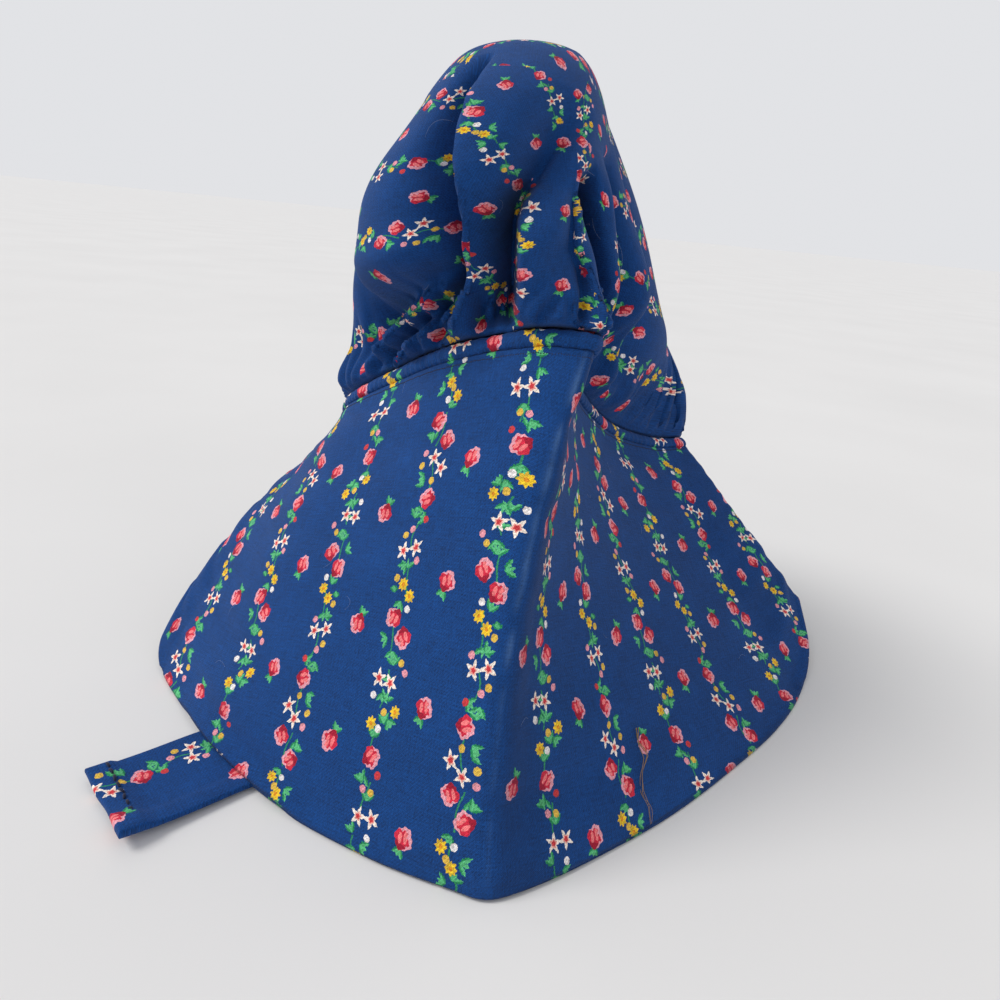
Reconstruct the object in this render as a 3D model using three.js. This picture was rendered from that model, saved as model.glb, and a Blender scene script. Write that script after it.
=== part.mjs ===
// Sunbonnet of printed cotton, standing on a table on the front edge of its brim with the crown up.
// Millimetres, +Z up. The origin is on the table, just right of the foot of the brim's crease.
// +X is to the right and +Y is to the back, so the crease points at the viewer.

import * as THREE from 'three';

// Driving sizes of the brim
const brimSpread = 206;
const brimReach = 155;
const apexHeight = 104;
const brimWall = 2;

// Driving sizes of the crown
const crownWidth = 100;
const crownDepth = 128;
const crownTop = 168;
const clothWall = 1.5;
const gatherCount = 22;
const gatherDepth = 1.6;

// Driving sizes of the seam roll and the neck frill
const weltDiameter = 2.6;
const neckBow = 17;
const frillFlare = 22;
const frillWaves = 9;
const waveDepth = 4;

// Driving sizes of the ties
const tieWidth = 25;
const tieWall = 1;
const tieLength = 230;
const tieBend = 7;
const tieSetback = 4;
const tieStand = 1.8;
const tieMargin = 8;

// Clearance between pieces that touch on the real bonnet
const seatGap = 0.3;

// Fineness of the meshes
const brimColumns = 44;
const brimRows = 10;
const crownColumns = 100;
const crownRows = 16;
const frillColumns = 64;
const frillRows = 5;
const weltSteps = 52;
const weltSides = 6;
const tieFlatRows = 14;
const tieBendRows = 5;
const tieDropRows = 8;
const tieColumns = 2;

// A table from its column names and its rows
const table = (columns, rows) => rows.map(
  (row) => Object.fromEntries(columns.map((name, i) => [name, row[i]])),
);

// Sections of the brim, from its left end to its right end, with the crease at place 0.
// place: where the section stands along the brim, from -1 to 1.
// seamX, seamY, seamZ: its upper end, on the seam. footX, footY, footZ: its lower end, on the front edge.
// bow: how far its middle stands out of the straight line between the two, away from the hollow.
// swing: how far its middle stands to the right of that line.
// X and the swing are shares of brimSpread, Y of brimReach, Z and the bow of apexHeight.
const brimSections = table(
  ['place', 'seamX', 'seamY', 'seamZ', 'footX', 'footY', 'footZ', 'bow', 'swing'],
  [
    [-1.00, -0.284, 0.827, 0.580, -0.493, 0.497, 0.130, 0.050, 0],
    [-0.94, -0.293, 0.782, 0.600, -0.506, 0.437, 0.050, 0.050, 0],
    [-0.86, -0.294, 0.722, 0.630, -0.487, 0.383, 0, 0.040, 0],
    [-0.74, -0.286, 0.649, 0.676, -0.438, 0.306, 0, 0.030, 0],
    [-0.60, -0.262, 0.572, 0.736, -0.364, 0.202, 0, 0.030, 0],
    [-0.40, -0.195, 0.487, 0.830, -0.262, 0.099, 0, 0.020, 0],
    [-0.20, -0.119, 0.390, 0.925, -0.146, 0.025, 0, 0.015, -0.002],
    [-0.07, -0.028, 0.307, 0.994, -0.060, -0.010, 0, 0.025, -0.008],
    [0.00, 0.028, 0.290, 1.000, -0.021, -0.020, 0, 0.025, -0.026],
    [0.06, 0.034, 0.322, 0.980, 0.024, 0.006, 0, -0.010, -0.024],
    [0.18, 0.030, 0.402, 0.925, 0.096, 0.069, 0, -0.045, -0.008],
    [0.34, 0.036, 0.524, 0.835, 0.184, 0.158, 0, -0.050, 0],
    [0.52, 0.074, 0.652, 0.725, 0.277, 0.274, 0, -0.050, 0],
    [0.70, 0.127, 0.775, 0.630, 0.364, 0.396, 0, -0.040, 0],
    [0.86, 0.200, 0.877, 0.565, 0.432, 0.524, 0, -0.030, 0],
    [0.94, 0.239, 0.922, 0.550, 0.470, 0.642, 0.050, -0.010, 0],
    [1.00, 0.274, 0.957, 0.545, 0.474, 0.762, 0.140, 0, 0],
  ],
);

// Sections of the crown, from just above the seam to the top.
// rise: height, from 0 at the seam and neck to 1 at the top.
// midX, midY: centre, as shares of brimSpread and brimReach.
// The eight reaches run from the centre: sideways ones are shares of crownWidth, the others of crownDepth.
const crownSections = table(
  [
    'rise', 'midX', 'midY',
    'front', 'frontRight', 'right', 'backRight', 'back', 'backLeft', 'left', 'frontLeft',
  ],
  [
    [0.12, -0.073, 0.672, 0.46, 0.40, 0.48, 0.74, 0.50, 0.50, 0.43, 0.42],
    [0.30, -0.073, 0.672, 0.45, 0.37, 0.43, 0.61, 0.53, 0.52, 0.42, 0.42],
    [0.50, -0.073, 0.672, 0.43, 0.33, 0.36, 0.50, 0.51, 0.47, 0.38, 0.38],
    [0.70, -0.068, 0.662, 0.38, 0.26, 0.25, 0.36, 0.41, 0.36, 0.28, 0.29],
    [0.86, -0.063, 0.652, 0.28, 0.19, 0.17, 0.22, 0.27, 0.23, 0.19, 0.21],
    [0.96, -0.063, 0.642, 0.14, 0.10, 0.09, 0.11, 0.13, 0.11, 0.10, 0.11],
  ],
);

// Folds and dents of the crown. turn: degrees from the front towards the right. width: degrees.
// lean: degrees that the fold turns over its full rise. depth: share of crownWidth, inwards.
// low, high: the rises between which the fold runs.
const crownFolds = table(
  ['turn', 'lean', 'width', 'depth', 'low', 'high'],
  [
    [-24, 6, 9, 0.15, 0, 0.80],
    [-8, -2, 6, -0.06, 0.05, 0.95],
    [8, 6, 6, 0.12, 0, 0.42],
    [17, 4, 6, -0.04, 0.10, 0.70],
    [27, -4, 4, 0.09, 0, 0.55],
    [50, 10, 9, 0.08, 0.10, 0.75],
    [88, -12, 11, 0.09, 0.05, 0.80],
    [138, 8, 9, 0.08, 0, 0.60],
    [166, -8, 10, 0.07, 0, 0.75],
    [190, 10, 9, 0.08, 0, 0.65],
    [222, -10, 11, 0.07, 0.05, 0.80],
    [262, 14, 10, 0.07, 0, 0.60],
    [300, 16, 9, 0.06, 0, 0.70],
  ],
);

// The two ties. place: where along the brim a tie is sewn.
// heading: degrees from +X, the way its free end lies.
// The right tie passes under the bonnet and out at the left front, the left one out at the back.
const ties = {
  right: { place: 0.86, heading: 224 },
  left: { place: -0.9, heading: 43 },
};

const blueCotton = { color: 0x1d4386, roughness: 0.9, metalness: 0 };
const shadedCotton = { color: 0x19396f, roughness: 0.9, metalness: 0 };
const darkCotton = { color: 0x102447, roughness: 0.9, metalness: 0 };

const smooth = (low, high, value) => {
  const t = Math.min(Math.max((value - low) / (high - low), 0), 1);
  return t * t * (3 - 2 * t);
};

const mix = (a, b, share) => a + (b - a) * share;

// Reads one column of a table at any place between its rows, on a smooth curve through them
function readTable(sections, key, column, at) {
  const last = sections.length - 1;
  let i = 0;
  while (i < last - 1 && at > sections[i + 1][key]) i += 1;
  const span = sections[i + 1][key] - sections[i][key];
  const t = Math.min(Math.max((at - sections[i][key]) / span, 0), 1);
  const slope = (k) => {
    const low = Math.max(k - 1, 0);
    const high = Math.min(k + 1, last);
    return (sections[high][column] - sections[low][column]) / (sections[high][key] - sections[low][key]);
  };
  const t2 = t * t;
  const t3 = t2 * t;
  return sections[i][column] * (2 * t3 - 3 * t2 + 1) + slope(i) * span * (t3 - 2 * t2 + t)
    + sections[i + 1][column] * (3 * t2 - 2 * t3) + slope(i + 1) * span * (t3 - t2);
}

const brimColumn = (column, place) => readTable(brimSections, 'place', column, place);

const seamPoint = (place) => new THREE.Vector3(
  brimColumn('seamX', place) * brimSpread,
  brimColumn('seamY', place) * brimReach,
  brimColumn('seamZ', place) * apexHeight,
);

const footPoint = (place) => new THREE.Vector3(
  brimColumn('footX', place) * brimSpread,
  brimColumn('footY', place) * brimReach,
  Math.max(brimColumn('footZ', place), 0) * apexHeight,
);

// How a tie hangs and lies: where it is sewn, the way of the seam there, and its run on the table
function tieRun(name) {
  const { place, heading } = ties[name];
  const seamWay = seamPoint(place + 0.06).sub(seamPoint(place - 0.06)).normalize();
  const depth = seamPoint(place).distanceTo(footPoint(place));
  const head = brimPoint(place, tieSetback / depth);
  const inward = pastSeam(place).cross(seamWay);
  head.addScaledVector(inward, brimWall + tieStand + tieWall / 2);
  const drop = head.z - tieBend - tieWall / 2;
  const turn = (tieBend * Math.PI) / 2;
  const flat = tieLength - drop - turn;
  const angle = THREE.MathUtils.degToRad(heading);
  const along = new THREE.Vector3(Math.cos(angle), Math.sin(angle), 0);
  return { head, seamWay, along, drop, turn, flat };
}

// How far an edge that would touch the table is lifted where it crosses a tie
function liftOverTies(x, y) {
  let lift = 0;
  for (const name of Object.keys(ties)) {
    const run = tieRun(name);
    const away = new THREE.Vector3(x, y, 0).sub(run.head.setZ(0));
    const across = Math.abs(away.x * run.along.y - away.y * run.along.x);
    if (away.dot(run.along) > -tieMargin && away.dot(run.along) < run.flat + tieMargin) {
      const share = 1 - smooth(tieWidth / 2 + tieMargin, tieWidth / 2 + 2 * tieMargin, across);
      lift = Math.max(lift, share * (tieWall + seatGap));
    }
  }
  return lift;
}

// Outer face of the brim. fall runs from 0 at the seam to 1 at the front edge.
function brimPoint(place, fall) {
  const seam = seamPoint(place);
  const foot = footPoint(place);
  const step = 0.01;
  const before = footPoint(Math.max(place - step, -1)).add(seamPoint(Math.max(place - step, -1)));
  const after = footPoint(Math.min(place + step, 1)).add(seamPoint(Math.min(place + step, 1)));
  const outward = after.sub(before).cross(new THREE.Vector3().subVectors(seam, foot)).normalize();
  const hump = 4 * fall * (1 - fall);
  const point = seam.lerp(foot, fall).addScaledVector(outward, brimColumn('bow', place) * apexHeight * hump);
  point.x += brimColumn('swing', place) * brimSpread * hump;
  return point;
}

// Direction in which the brim would go on past the seam
function pastSeam(place) {
  return brimPoint(place, 0).sub(brimPoint(place, 0.08)).normalize();
}

// Closed body between two grids of points, [row][column]. Columns may wrap round, and the last row may
// close to a point.
function shellGeometry(outer, inner, wraps, closesAtEnd) {
  const positions = [];
  const faces = [];
  const addGrid = (grid) => grid.map((row, i) => {
    if (closesAtEnd && i === grid.length - 1) {
      positions.push(row[0].x, row[0].y, row[0].z);
      return row.map(() => positions.length / 3 - 1);
    }
    return row.map((point) => {
      positions.push(point.x, point.y, point.z);
      return positions.length / 3 - 1;
    });
  });
  const outside = addGrid(outer);
  const inside = addGrid(inner);
  const rows = outer.length;
  const columns = outer[0].length;
  const addQuad = (a, b, c, d) => {
    if (a !== b && b !== c && a !== c) faces.push(a, b, c);
    if (a !== c && c !== d && a !== d) faces.push(a, c, d);
  };
  const lastColumn = wraps ? columns : columns - 1;
  for (let i = 0; i < rows - 1; i += 1) {
    for (let j = 0; j < lastColumn; j += 1) {
      const k = (j + 1) % columns;
      addQuad(outside[i][j], outside[i][k], outside[i + 1][k], outside[i + 1][j]);
      addQuad(inside[i][j], inside[i + 1][j], inside[i + 1][k], inside[i][k]);
    }
  }
  for (let j = 0; j < lastColumn; j += 1) {
    const k = (j + 1) % columns;
    addQuad(outside[0][k], outside[0][j], inside[0][j], inside[0][k]);
    if (!closesAtEnd) {
      const e = rows - 1;
      addQuad(outside[e][j], outside[e][k], inside[e][k], inside[e][j]);
    }
  }
  if (!wraps) {
    const e = columns - 1;
    for (let i = 0; i < rows - 1; i += 1) {
      addQuad(outside[i][0], outside[i + 1][0], inside[i + 1][0], inside[i][0]);
      addQuad(outside[i + 1][e], outside[i][e], inside[i][e], inside[i + 1][e]);
    }
  }
  const geometry = new THREE.BufferGeometry();
  geometry.setAttribute('position', new THREE.Float32BufferAttribute(positions, 3));
  geometry.setIndex(faces);
  geometry.computeVertexNormals();
  return geometry;
}

// Normals of a grid of points, from its neighbours
function gridNormals(grid, wraps) {
  const columns = grid[0].length;
  return grid.map((row, i) => row.map((point, j) => {
    const left = wraps ? (j + columns - 1) % columns : Math.max(j - 1, 0);
    const right = wraps ? (j + 1) % columns : Math.min(j + 1, columns - 1);
    const along = new THREE.Vector3().subVectors(row[right], row[left]);
    const low = grid[Math.max(i - 1, 0)][j];
    const high = grid[Math.min(i + 1, grid.length - 1)][j];
    return along.cross(new THREE.Vector3().subVectors(high, low)).normalize();
  }));
}

// A sheet of cloth of one thickness. front: share of it that lies before the grid of points.
function sheetGeometry(grid, wall, front, settle) {
  const normals = gridNormals(grid, false);
  const side = (share) => grid.map((row, i) => row.map((point, j) => (
    settle(point.clone().addScaledVector(normals[i][j], share * wall), i, j)
  )));
  return shellGeometry(side(front), side(front - 1), false, false);
}

function makeMesh(name, geometry, finish) {
  const mesh = new THREE.Mesh(geometry, new THREE.MeshStandardMaterial(finish));
  mesh.name = name;
  return mesh;
}

// Brim: a stiffened sheet, folded along its crease, with rounded corners and its front edge on the table
function makeBrim() {
  const grid = [];
  for (let i = 0; i <= brimRows; i += 1) {
    const row = [];
    for (let j = 0; j <= brimColumns; j += 1) {
      row.push(brimPoint(mix(-1, 1, j / brimColumns), 1 - i / brimRows));
    }
    grid.push(row);
  }
  const settle = (point, i, j) => {
    const place = mix(-1, 1, j / brimColumns);
    const onTable = brimColumn('footZ', place) <= 0;
    if (i === 0 && onTable) point.z = liftOverTies(point.x, point.y);
    point.z = Math.max(point.z, 0);
    return point;
  };
  return makeMesh('brim', sheetGeometry(grid, brimWall, 0, settle), blueCotton);
}

// Seam roll along the back edge of the brim
function makeWelt() {
  const points = [];
  for (let k = 0; k <= weltSteps; k += 1) {
    const place = mix(-1, 1, k / weltSteps);
    points.push(seamPoint(place).addScaledVector(pastSeam(place), 2 * seatGap + weltDiameter / 2));
  }
  const section = new THREE.Shape();
  for (let k = 0; k < weltSides; k += 1) {
    const angle = (2 * Math.PI * k) / weltSides;
    const x = (weltDiameter / 2) * Math.cos(angle);
    const y = (weltDiameter / 2) * Math.sin(angle);
    if (k === 0) section.moveTo(x, y);
    else section.lineTo(x, y);
  }
  section.closePath();
  const geometry = new THREE.ExtrudeGeometry(section, {
    steps: weltSteps,
    bevelEnabled: false,
    extrudePath: new THREE.CatmullRomCurve3(points),
  });
  return makeMesh('seam_welt', geometry, darkCotton);
}

// Line of the crown's lower edge over the brim
const crownSeat = (place) => seamPoint(place).addScaledVector(pastSeam(place), 4 * seatGap + weltDiameter);

// Line of the crown's lower edge across the back of the neck, from the right end of the brim to the left
function neckPoint(share) {
  const right = crownSeat(1);
  const left = crownSeat(-1);
  const back = new THREE.Vector3(right.y - left.y, left.x - right.x, 0).normalize().negate();
  return right.lerp(left, share).addScaledVector(back, neckBow * 4 * share * (1 - share));
}

// Shares of the way round the crown that the right of the brim, the neck and the left of the brim take
const rightShare = 0.37;
const leftShare = 0.66;

function crownBase(round) {
  if (round < rightShare) return crownSeat(round / rightShare);
  if (round < leftShare) return neckPoint((round - rightShare) / (leftShare - rightShare));
  return crownSeat((round - leftShare) / (1 - leftShare) - 1);
}

const reachNames = ['front', 'frontRight', 'right', 'backRight', 'back', 'backLeft', 'left', 'frontLeft'];

// Reach of the crown from its centre at one rise, in one direction
function crownReach(rise, turn) {
  const eighth = ((turn / (2 * Math.PI)) * reachNames.length + 2 * reachNames.length) % reachNames.length;
  const at = (k) => {
    const name = reachNames[(k + reachNames.length) % reachNames.length];
    return readTable(crownSections, 'rise', name, rise);
  };
  const k = Math.floor(eighth);
  const t = eighth - k;
  const slopeStart = (at(k + 1) - at(k - 1)) / 2;
  const slopeEnd = (at(k + 2) - at(k)) / 2;
  const t2 = t * t;
  const t3 = t2 * t;
  const share = at(k) * (2 * t3 - 3 * t2 + 1) + slopeStart * (t3 - 2 * t2 + t)
    + at(k + 1) * (3 * t2 - 2 * t3) + slopeEnd * (t3 - t2);
  const size = Math.hypot(crownWidth * Math.sin(turn), crownDepth * Math.cos(turn));
  return share * size;
}

// How far the folds pull the crown in, at one rise and turn
function foldDepth(rise, turn) {
  const degrees = THREE.MathUtils.radToDeg(turn);
  let depth = 0;
  for (const fold of crownFolds) {
    const middle = fold.turn + fold.lean * rise;
    const away = THREE.MathUtils.euclideanModulo(degrees - middle + 180, 360) - 180;
    const opens = smooth(fold.low - 0.12, fold.low + 0.08, rise);
    const closes = 1 - smooth(fold.high - 0.15, fold.high + 0.05, rise);
    depth += fold.depth * crownWidth * opens * closes * Math.exp(-((away / fold.width) ** 2));
  }
  return depth;
}

// Point of the crown's outer face. round: share of the way round from the front towards the right.
function crownPoint(round, rise, inset) {
  const base = crownBase(round);
  const midX = readTable(crownSections, 'rise', 'midX', rise) * brimSpread;
  const midY = readTable(crownSections, 'rise', 'midY', rise) * brimReach;
  const top = new THREE.Vector3(midX, midY, crownTop - inset);
  if (rise >= 1) return top;
  const fromMid = new THREE.Vector2(base.x - midX, base.y - midY);
  const turn = Math.atan2(fromMid.x, -fromMid.y);
  const settled = smooth(0, 0.28, rise);
  const gather = gatherDepth * Math.sin(2 * Math.PI * gatherCount * round) * (1 - smooth(0.05, 0.5, rise));
  const folds = foldDepth(rise, turn) * smooth(0, 0.12, rise);
  const smoothReach = mix(fromMid.length(), crownReach(rise, turn), settled);
  const reach = smoothReach - folds + gather * smooth(0, 0.06, rise) - inset;
  const drop = inset * smooth(0.5, 1, rise);
  return new THREE.Vector3(
    midX + reach * Math.sin(turn),
    midY - reach * Math.cos(turn),
    mix(base.z, crownTop, 1 - (1 - rise) ** 1.25) - drop,
  );
}

// Crown: a gathered bag of cloth, open below, where it is sewn to the brim and drawn in at the neck
function makeCrown() {
  const side = (inset) => {
    const grid = [];
    for (let i = 0; i <= crownRows; i += 1) {
      const rise = (i / crownRows) ** 1.1;
      const row = [];
      for (let j = 0; j < crownColumns; j += 1) row.push(crownPoint(j / crownColumns, rise, inset));
      grid.push(row);
    }
    return grid;
  };
  return makeMesh('crown', shellGeometry(side(0), side(clothWall), true, true), blueCotton);
}

// Neck frill: hangs from the gathered neck edge of the crown down to the table
function makeFrill() {
  const left = crownSeat(-1);
  const right = crownSeat(1);
  const back = new THREE.Vector3(right.y - left.y, left.x - right.x, 0).normalize().negate();
  const aside = new THREE.Vector3(back.y, -back.x, 0);
  const grid = [];
  for (let i = 0; i <= frillRows; i += 1) {
    const fall = 1 - i / frillRows;
    const row = [];
    for (let j = 0; j <= frillColumns; j += 1) {
      const share = 1 - j / frillColumns;
      const top = neckPoint(share);
      top.z -= seatGap;
      const spread = (0.5 - share) * 2;
      const wave = waveDepth * Math.cos(2 * Math.PI * frillWaves * share) * smooth(0, 0.8, fall);
      const out = frillFlare * Math.sin((fall * Math.PI) / 2) * (1 - 0.35 * spread * spread) + wave;
      const point = top.clone().addScaledVector(back, out);
      point.addScaledVector(aside, spread * frillFlare * 0.4 * fall);
      point.z = mix(top.z, 0, fall);
      row.push(point);
    }
    grid.push(row);
  }
  const settle = (point, i) => {
    if (i === 0) point.z = liftOverTies(point.x, point.y);
    return point;
  };
  return makeMesh('neck_frill', sheetGeometry(grid, clothWall, 0.5, settle), shadedCotton);
}

// Tie: a flat band sewn inside one end of the brim. It hangs down, twists, and lies along the table.
function makeTie(name) {
  const { head, seamWay, along, drop, turn, flat } = tieRun(name);
  const across = new THREE.Vector3(along.y, -along.x, 0);
  if (across.dot(seamWay) < 0) seamWay.negate();
  const corner = new THREE.Vector3(head.x, head.y, tieWall / 2);
  const pathPoint = (distance) => {
    const point = corner.clone();
    if (distance < flat) return point.addScaledVector(along, flat + tieBend - distance);
    const angle = Math.min((distance - flat) / tieBend, Math.PI / 2);
    point.addScaledVector(along, tieBend * (1 - Math.sin(angle)));
    point.z += tieBend * (1 - Math.cos(angle)) + Math.max(distance - flat - turn, 0);
    return point;
  };
  const stops = [];
  for (let i = 0; i < tieFlatRows; i += 1) stops.push((flat * i) / tieFlatRows);
  for (let i = 0; i < tieBendRows; i += 1) stops.push(flat + (turn * i) / tieBendRows);
  for (let i = 0; i <= tieDropRows; i += 1) stops.push(flat + turn + (drop * i) / tieDropRows);
  const grid = stops.map((distance) => {
    const twist = smooth(flat + turn, flat + turn + drop * 0.8, distance);
    const way = across.clone().lerp(seamWay, twist).normalize();
    const row = [];
    for (let j = 0; j <= tieColumns; j += 1) {
      row.push(pathPoint(distance).addScaledVector(way, tieWidth * (0.5 - j / tieColumns)));
    }
    return row;
  });
  return makeMesh(`tie_${name}`, sheetGeometry(grid, tieWall, 0.5, (point) => point), shadedCotton);
}

const sunbonnet = new THREE.Group();
sunbonnet.add(makeBrim());
sunbonnet.add(makeWelt());
sunbonnet.add(makeCrown());
sunbonnet.add(makeFrill());
sunbonnet.add(makeTie('right'));
sunbonnet.add(makeTie('left'));

export default sunbonnet;
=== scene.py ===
"""Looks of the sunbonnet: printed cotton brim, gathered crown, rolled seam, neck frill and ties.

Metres, +Z up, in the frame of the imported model. The origin is on the table, just right of the foot of the
brim's crease.
"""

import math
import random

import bpy
import numpy as np
from mathutils import Matrix, Vector


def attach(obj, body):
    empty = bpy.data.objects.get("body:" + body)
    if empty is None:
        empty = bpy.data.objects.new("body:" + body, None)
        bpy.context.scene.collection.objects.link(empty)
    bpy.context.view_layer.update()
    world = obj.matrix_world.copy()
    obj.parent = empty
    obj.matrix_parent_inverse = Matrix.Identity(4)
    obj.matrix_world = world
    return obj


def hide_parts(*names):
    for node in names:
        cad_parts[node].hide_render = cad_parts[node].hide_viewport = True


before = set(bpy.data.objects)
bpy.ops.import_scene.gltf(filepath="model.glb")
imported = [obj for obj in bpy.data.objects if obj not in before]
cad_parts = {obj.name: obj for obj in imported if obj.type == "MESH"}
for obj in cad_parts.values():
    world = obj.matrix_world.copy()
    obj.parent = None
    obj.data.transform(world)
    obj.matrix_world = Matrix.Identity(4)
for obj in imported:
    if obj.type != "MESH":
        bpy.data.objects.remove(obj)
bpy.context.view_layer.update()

# Camera of the photograph: place, right, up and forward directions, and focal length on a 36 mm frame
CAMERA_PLACE = (-0.01003, -0.10859, 0.12725)
CAMERA_RIGHT = (0.9967, 0.0347, 0.0900)
CAMERA_FORWARD = (0.0, 0.9328, -0.3600)
CAMERA_LENS = 25.92

# The even light: its strength, what the camera sees of it, and its colour
WORLD_LIGHT = 0.66
SEEN_LIGHT = 0.79
WORLD_COLOUR = (0.96, 0.97, 1.0, 1)
# The key light: its strength, its width in radians, its direction and its colour
KEY_STRENGTH = 1.6
KEY_ANGLE = 0.42
KEY_WAY = (0.50, 0.04, -0.57)
KEY_COLOUR = (1.0, 0.985, 0.96)

# Sizes shared with the CAD source
BRIM_SPREAD = 0.206
BRIM_REACH = 0.155
APEX_HEIGHT = 0.104
BRIM_WALL = 0.002
BRIM_FLAT_WIDTH = 0.29
BRIM_FLAT_DEPTH = 0.112
CROWN_WIDTH = 0.100
CROWN_DEPTH = 0.128
CROWN_TOP = 0.168
CLOTH_WALL = 0.0015
WELT_DIAMETER = 0.0026
NECK_BOW = 0.017
FRILL_FLARE = 0.022
FRILL_WAVES = 9
FRILL_SPAN = 0.14
FRILL_DROP = 0.065
FRILL_CLOTH = (0.26, 0.066)
WAVE_DEPTH = 0.004
TIE_WIDTH = 0.025
TIE_WALL = 0.001
TIE_LENGTH = 0.230
TIE_BEND = 0.007
TIE_SETBACK = 0.004
TIE_STAND = 0.0018
TIE_MARGIN = 0.008
TIE_PRINT = (0.7, 0.1)
HEM_DEPTH = 0.006
HEM_THICKER = 0.9
SIDE_HEM = 0.0042
SIDE_THICKER = 0.5
SEAT_GAP = 0.0003
RIGHT_SHARE = 0.37
LEFT_SHARE = 0.66

# Spacing of the print's stripes, which is the unit of the print's coordinates
STRIPE = 0.025

# Sections of the brim, from its left end to its right end, as in the CAD source
BRIM_COLUMNS = "place seam_x seam_y seam_z foot_x foot_y foot_z bow swing".split()
BRIM_ROWS = [
    (-1, -0.284, 0.827, 0.58, -0.493, 0.497, 0.13, 0.05, 0),
    (-0.94, -0.293, 0.782, 0.6, -0.506, 0.437, 0.05, 0.05, 0),
    (-0.86, -0.294, 0.722, 0.63, -0.487, 0.383, 0, 0.04, 0),
    (-0.74, -0.286, 0.649, 0.676, -0.438, 0.306, 0, 0.03, 0),
    (-0.6, -0.262, 0.572, 0.736, -0.364, 0.202, 0, 0.03, 0),
    (-0.4, -0.195, 0.487, 0.83, -0.262, 0.099, 0, 0.02, 0),
    (-0.2, -0.119, 0.39, 0.925, -0.146, 0.025, 0, 0.015, -0.002),
    (-0.07, -0.028, 0.307, 0.994, -0.06, -0.01, 0, 0.025, -0.008),
    (0, 0.028, 0.29, 1, -0.021, -0.02, 0, 0.025, -0.026),
    (0.06, 0.034, 0.322, 0.98, 0.024, 0.006, 0, -0.01, -0.024),
    (0.18, 0.03, 0.402, 0.925, 0.096, 0.069, 0, -0.045, -0.008),
    (0.34, 0.036, 0.524, 0.835, 0.184, 0.158, 0, -0.05, 0),
    (0.52, 0.074, 0.652, 0.725, 0.277, 0.274, 0, -0.05, 0),
    (0.7, 0.127, 0.775, 0.63, 0.364, 0.396, 0, -0.04, 0),
    (0.86, 0.2, 0.877, 0.565, 0.432, 0.524, 0, -0.03, 0),
    (0.94, 0.239, 0.922, 0.55, 0.47, 0.642, 0.05, -0.01, 0),
    (1, 0.274, 0.957, 0.545, 0.474, 0.762, 0.14, 0, 0),
]

# Where the print lies on the brim, in stripe spacings: u across the stripes at five falls from the seam to
# the front edge, and v along them at the two ends
PRINT_COLUMNS = "place u_0 u_25 u_50 u_75 u_100 v_seam v_foot".split()
PRINT_ROWS = [
    (-1, -4.5, -4.6, -4.6, -4.65, -4.65, -0.88, 1.9),
    (-0.94, -4.22, -4.38, -4.35, -4.6, -4.7, -0.88, 2.45),
    (-0.86, -3.82, -3.95, -4, -4.2, -4.25, -0.88, 2.8),
    (-0.74, -3.33, -3.45, -3.6, -3.7, -3.8, -0.88, 3),
    (-0.6, -2.75, -2.92, -3, -3.08, -3.02, -0.88, 3.2),
    (-0.4, -2, -2, -2, -2, -2, -0.88, 3.5),
    (-0.2, -1.08, -1.05, -0.95, -0.9, -0.82, -0.88, 3.6),
    (-0.07, -0.05, -0.08, -0.07, -0.02, 0, -0.86, 3.6),
    (0, 0.5, 0.25, 0.3, 0.3, 0.3, -0.9, 3.65),
    (0.06, 0.7, 0.9, 0.82, 0.8, 0.72, -0.9, 3.6),
    (0.18, 1.2, 1.4, 1.55, 1.45, 1.55, -0.9, 3.5),
    (0.34, 2.1, 2.4, 2.4, 2.5, 2.5, -0.9, 3.45),
    (0.52, 3.1, 3.25, 3.22, 3.48, 3.5, -0.9, 3.3),
    (0.7, 4, 4.02, 4.2, 4.48, 4.5, -0.9, 3.1),
    (0.86, 4.88, 4.83, 5, 5.2, 5.3, -0.9, 2.8),
    (0.94, 5.3, 5.35, 5.7, 5.9, 6, -0.9, 2.4),
    (1, 5.7, 5.9, 6.1, 6.3, 6.45, -0.9, 1.6),
]

# Sections of the crown, from just above the seam to the top, as in the CAD source
REACHES = "front front_right right back_right back back_left left front_left".split()
CROWN_COLUMNS = ["rise", "mid_x", "mid_y", *REACHES]
CROWN_ROWS = [
    (0.12, -0.073, 0.672, 0.46, 0.4, 0.48, 0.74, 0.5, 0.5, 0.43, 0.42),
    (0.3, -0.073, 0.672, 0.45, 0.37, 0.43, 0.61, 0.53, 0.52, 0.42, 0.42),
    (0.5, -0.073, 0.672, 0.43, 0.33, 0.36, 0.5, 0.51, 0.47, 0.38, 0.38),
    (0.7, -0.068, 0.662, 0.38, 0.26, 0.25, 0.36, 0.41, 0.36, 0.28, 0.29),
    (0.86, -0.063, 0.652, 0.28, 0.19, 0.17, 0.22, 0.27, 0.23, 0.19, 0.21),
    (0.96, -0.063, 0.642, 0.14, 0.1, 0.09, 0.11, 0.13, 0.11, 0.1, 0.11),
]

# Folds and dents round the sides and back of the crown, as in the CAD source: turn, lean and width in
# degrees, depth as a share of the crown's width, and the lowest and highest rise
FOLDS = [
    (88, -12, 11, 0.09, 0.05, 0.8),
    (138, 8, 9, 0.08, 0, 0.6),
    (166, -8, 10, 0.07, 0, 0.75),
    (190, 10, 9, 0.08, 0, 0.65),
    (222, -10, 11, 0.07, 0.05, 0.8),
    (262, 14, 10, 0.07, 0, 0.6),
    (300, 16, 9, 0.06, 0, 0.7),
]

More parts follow.
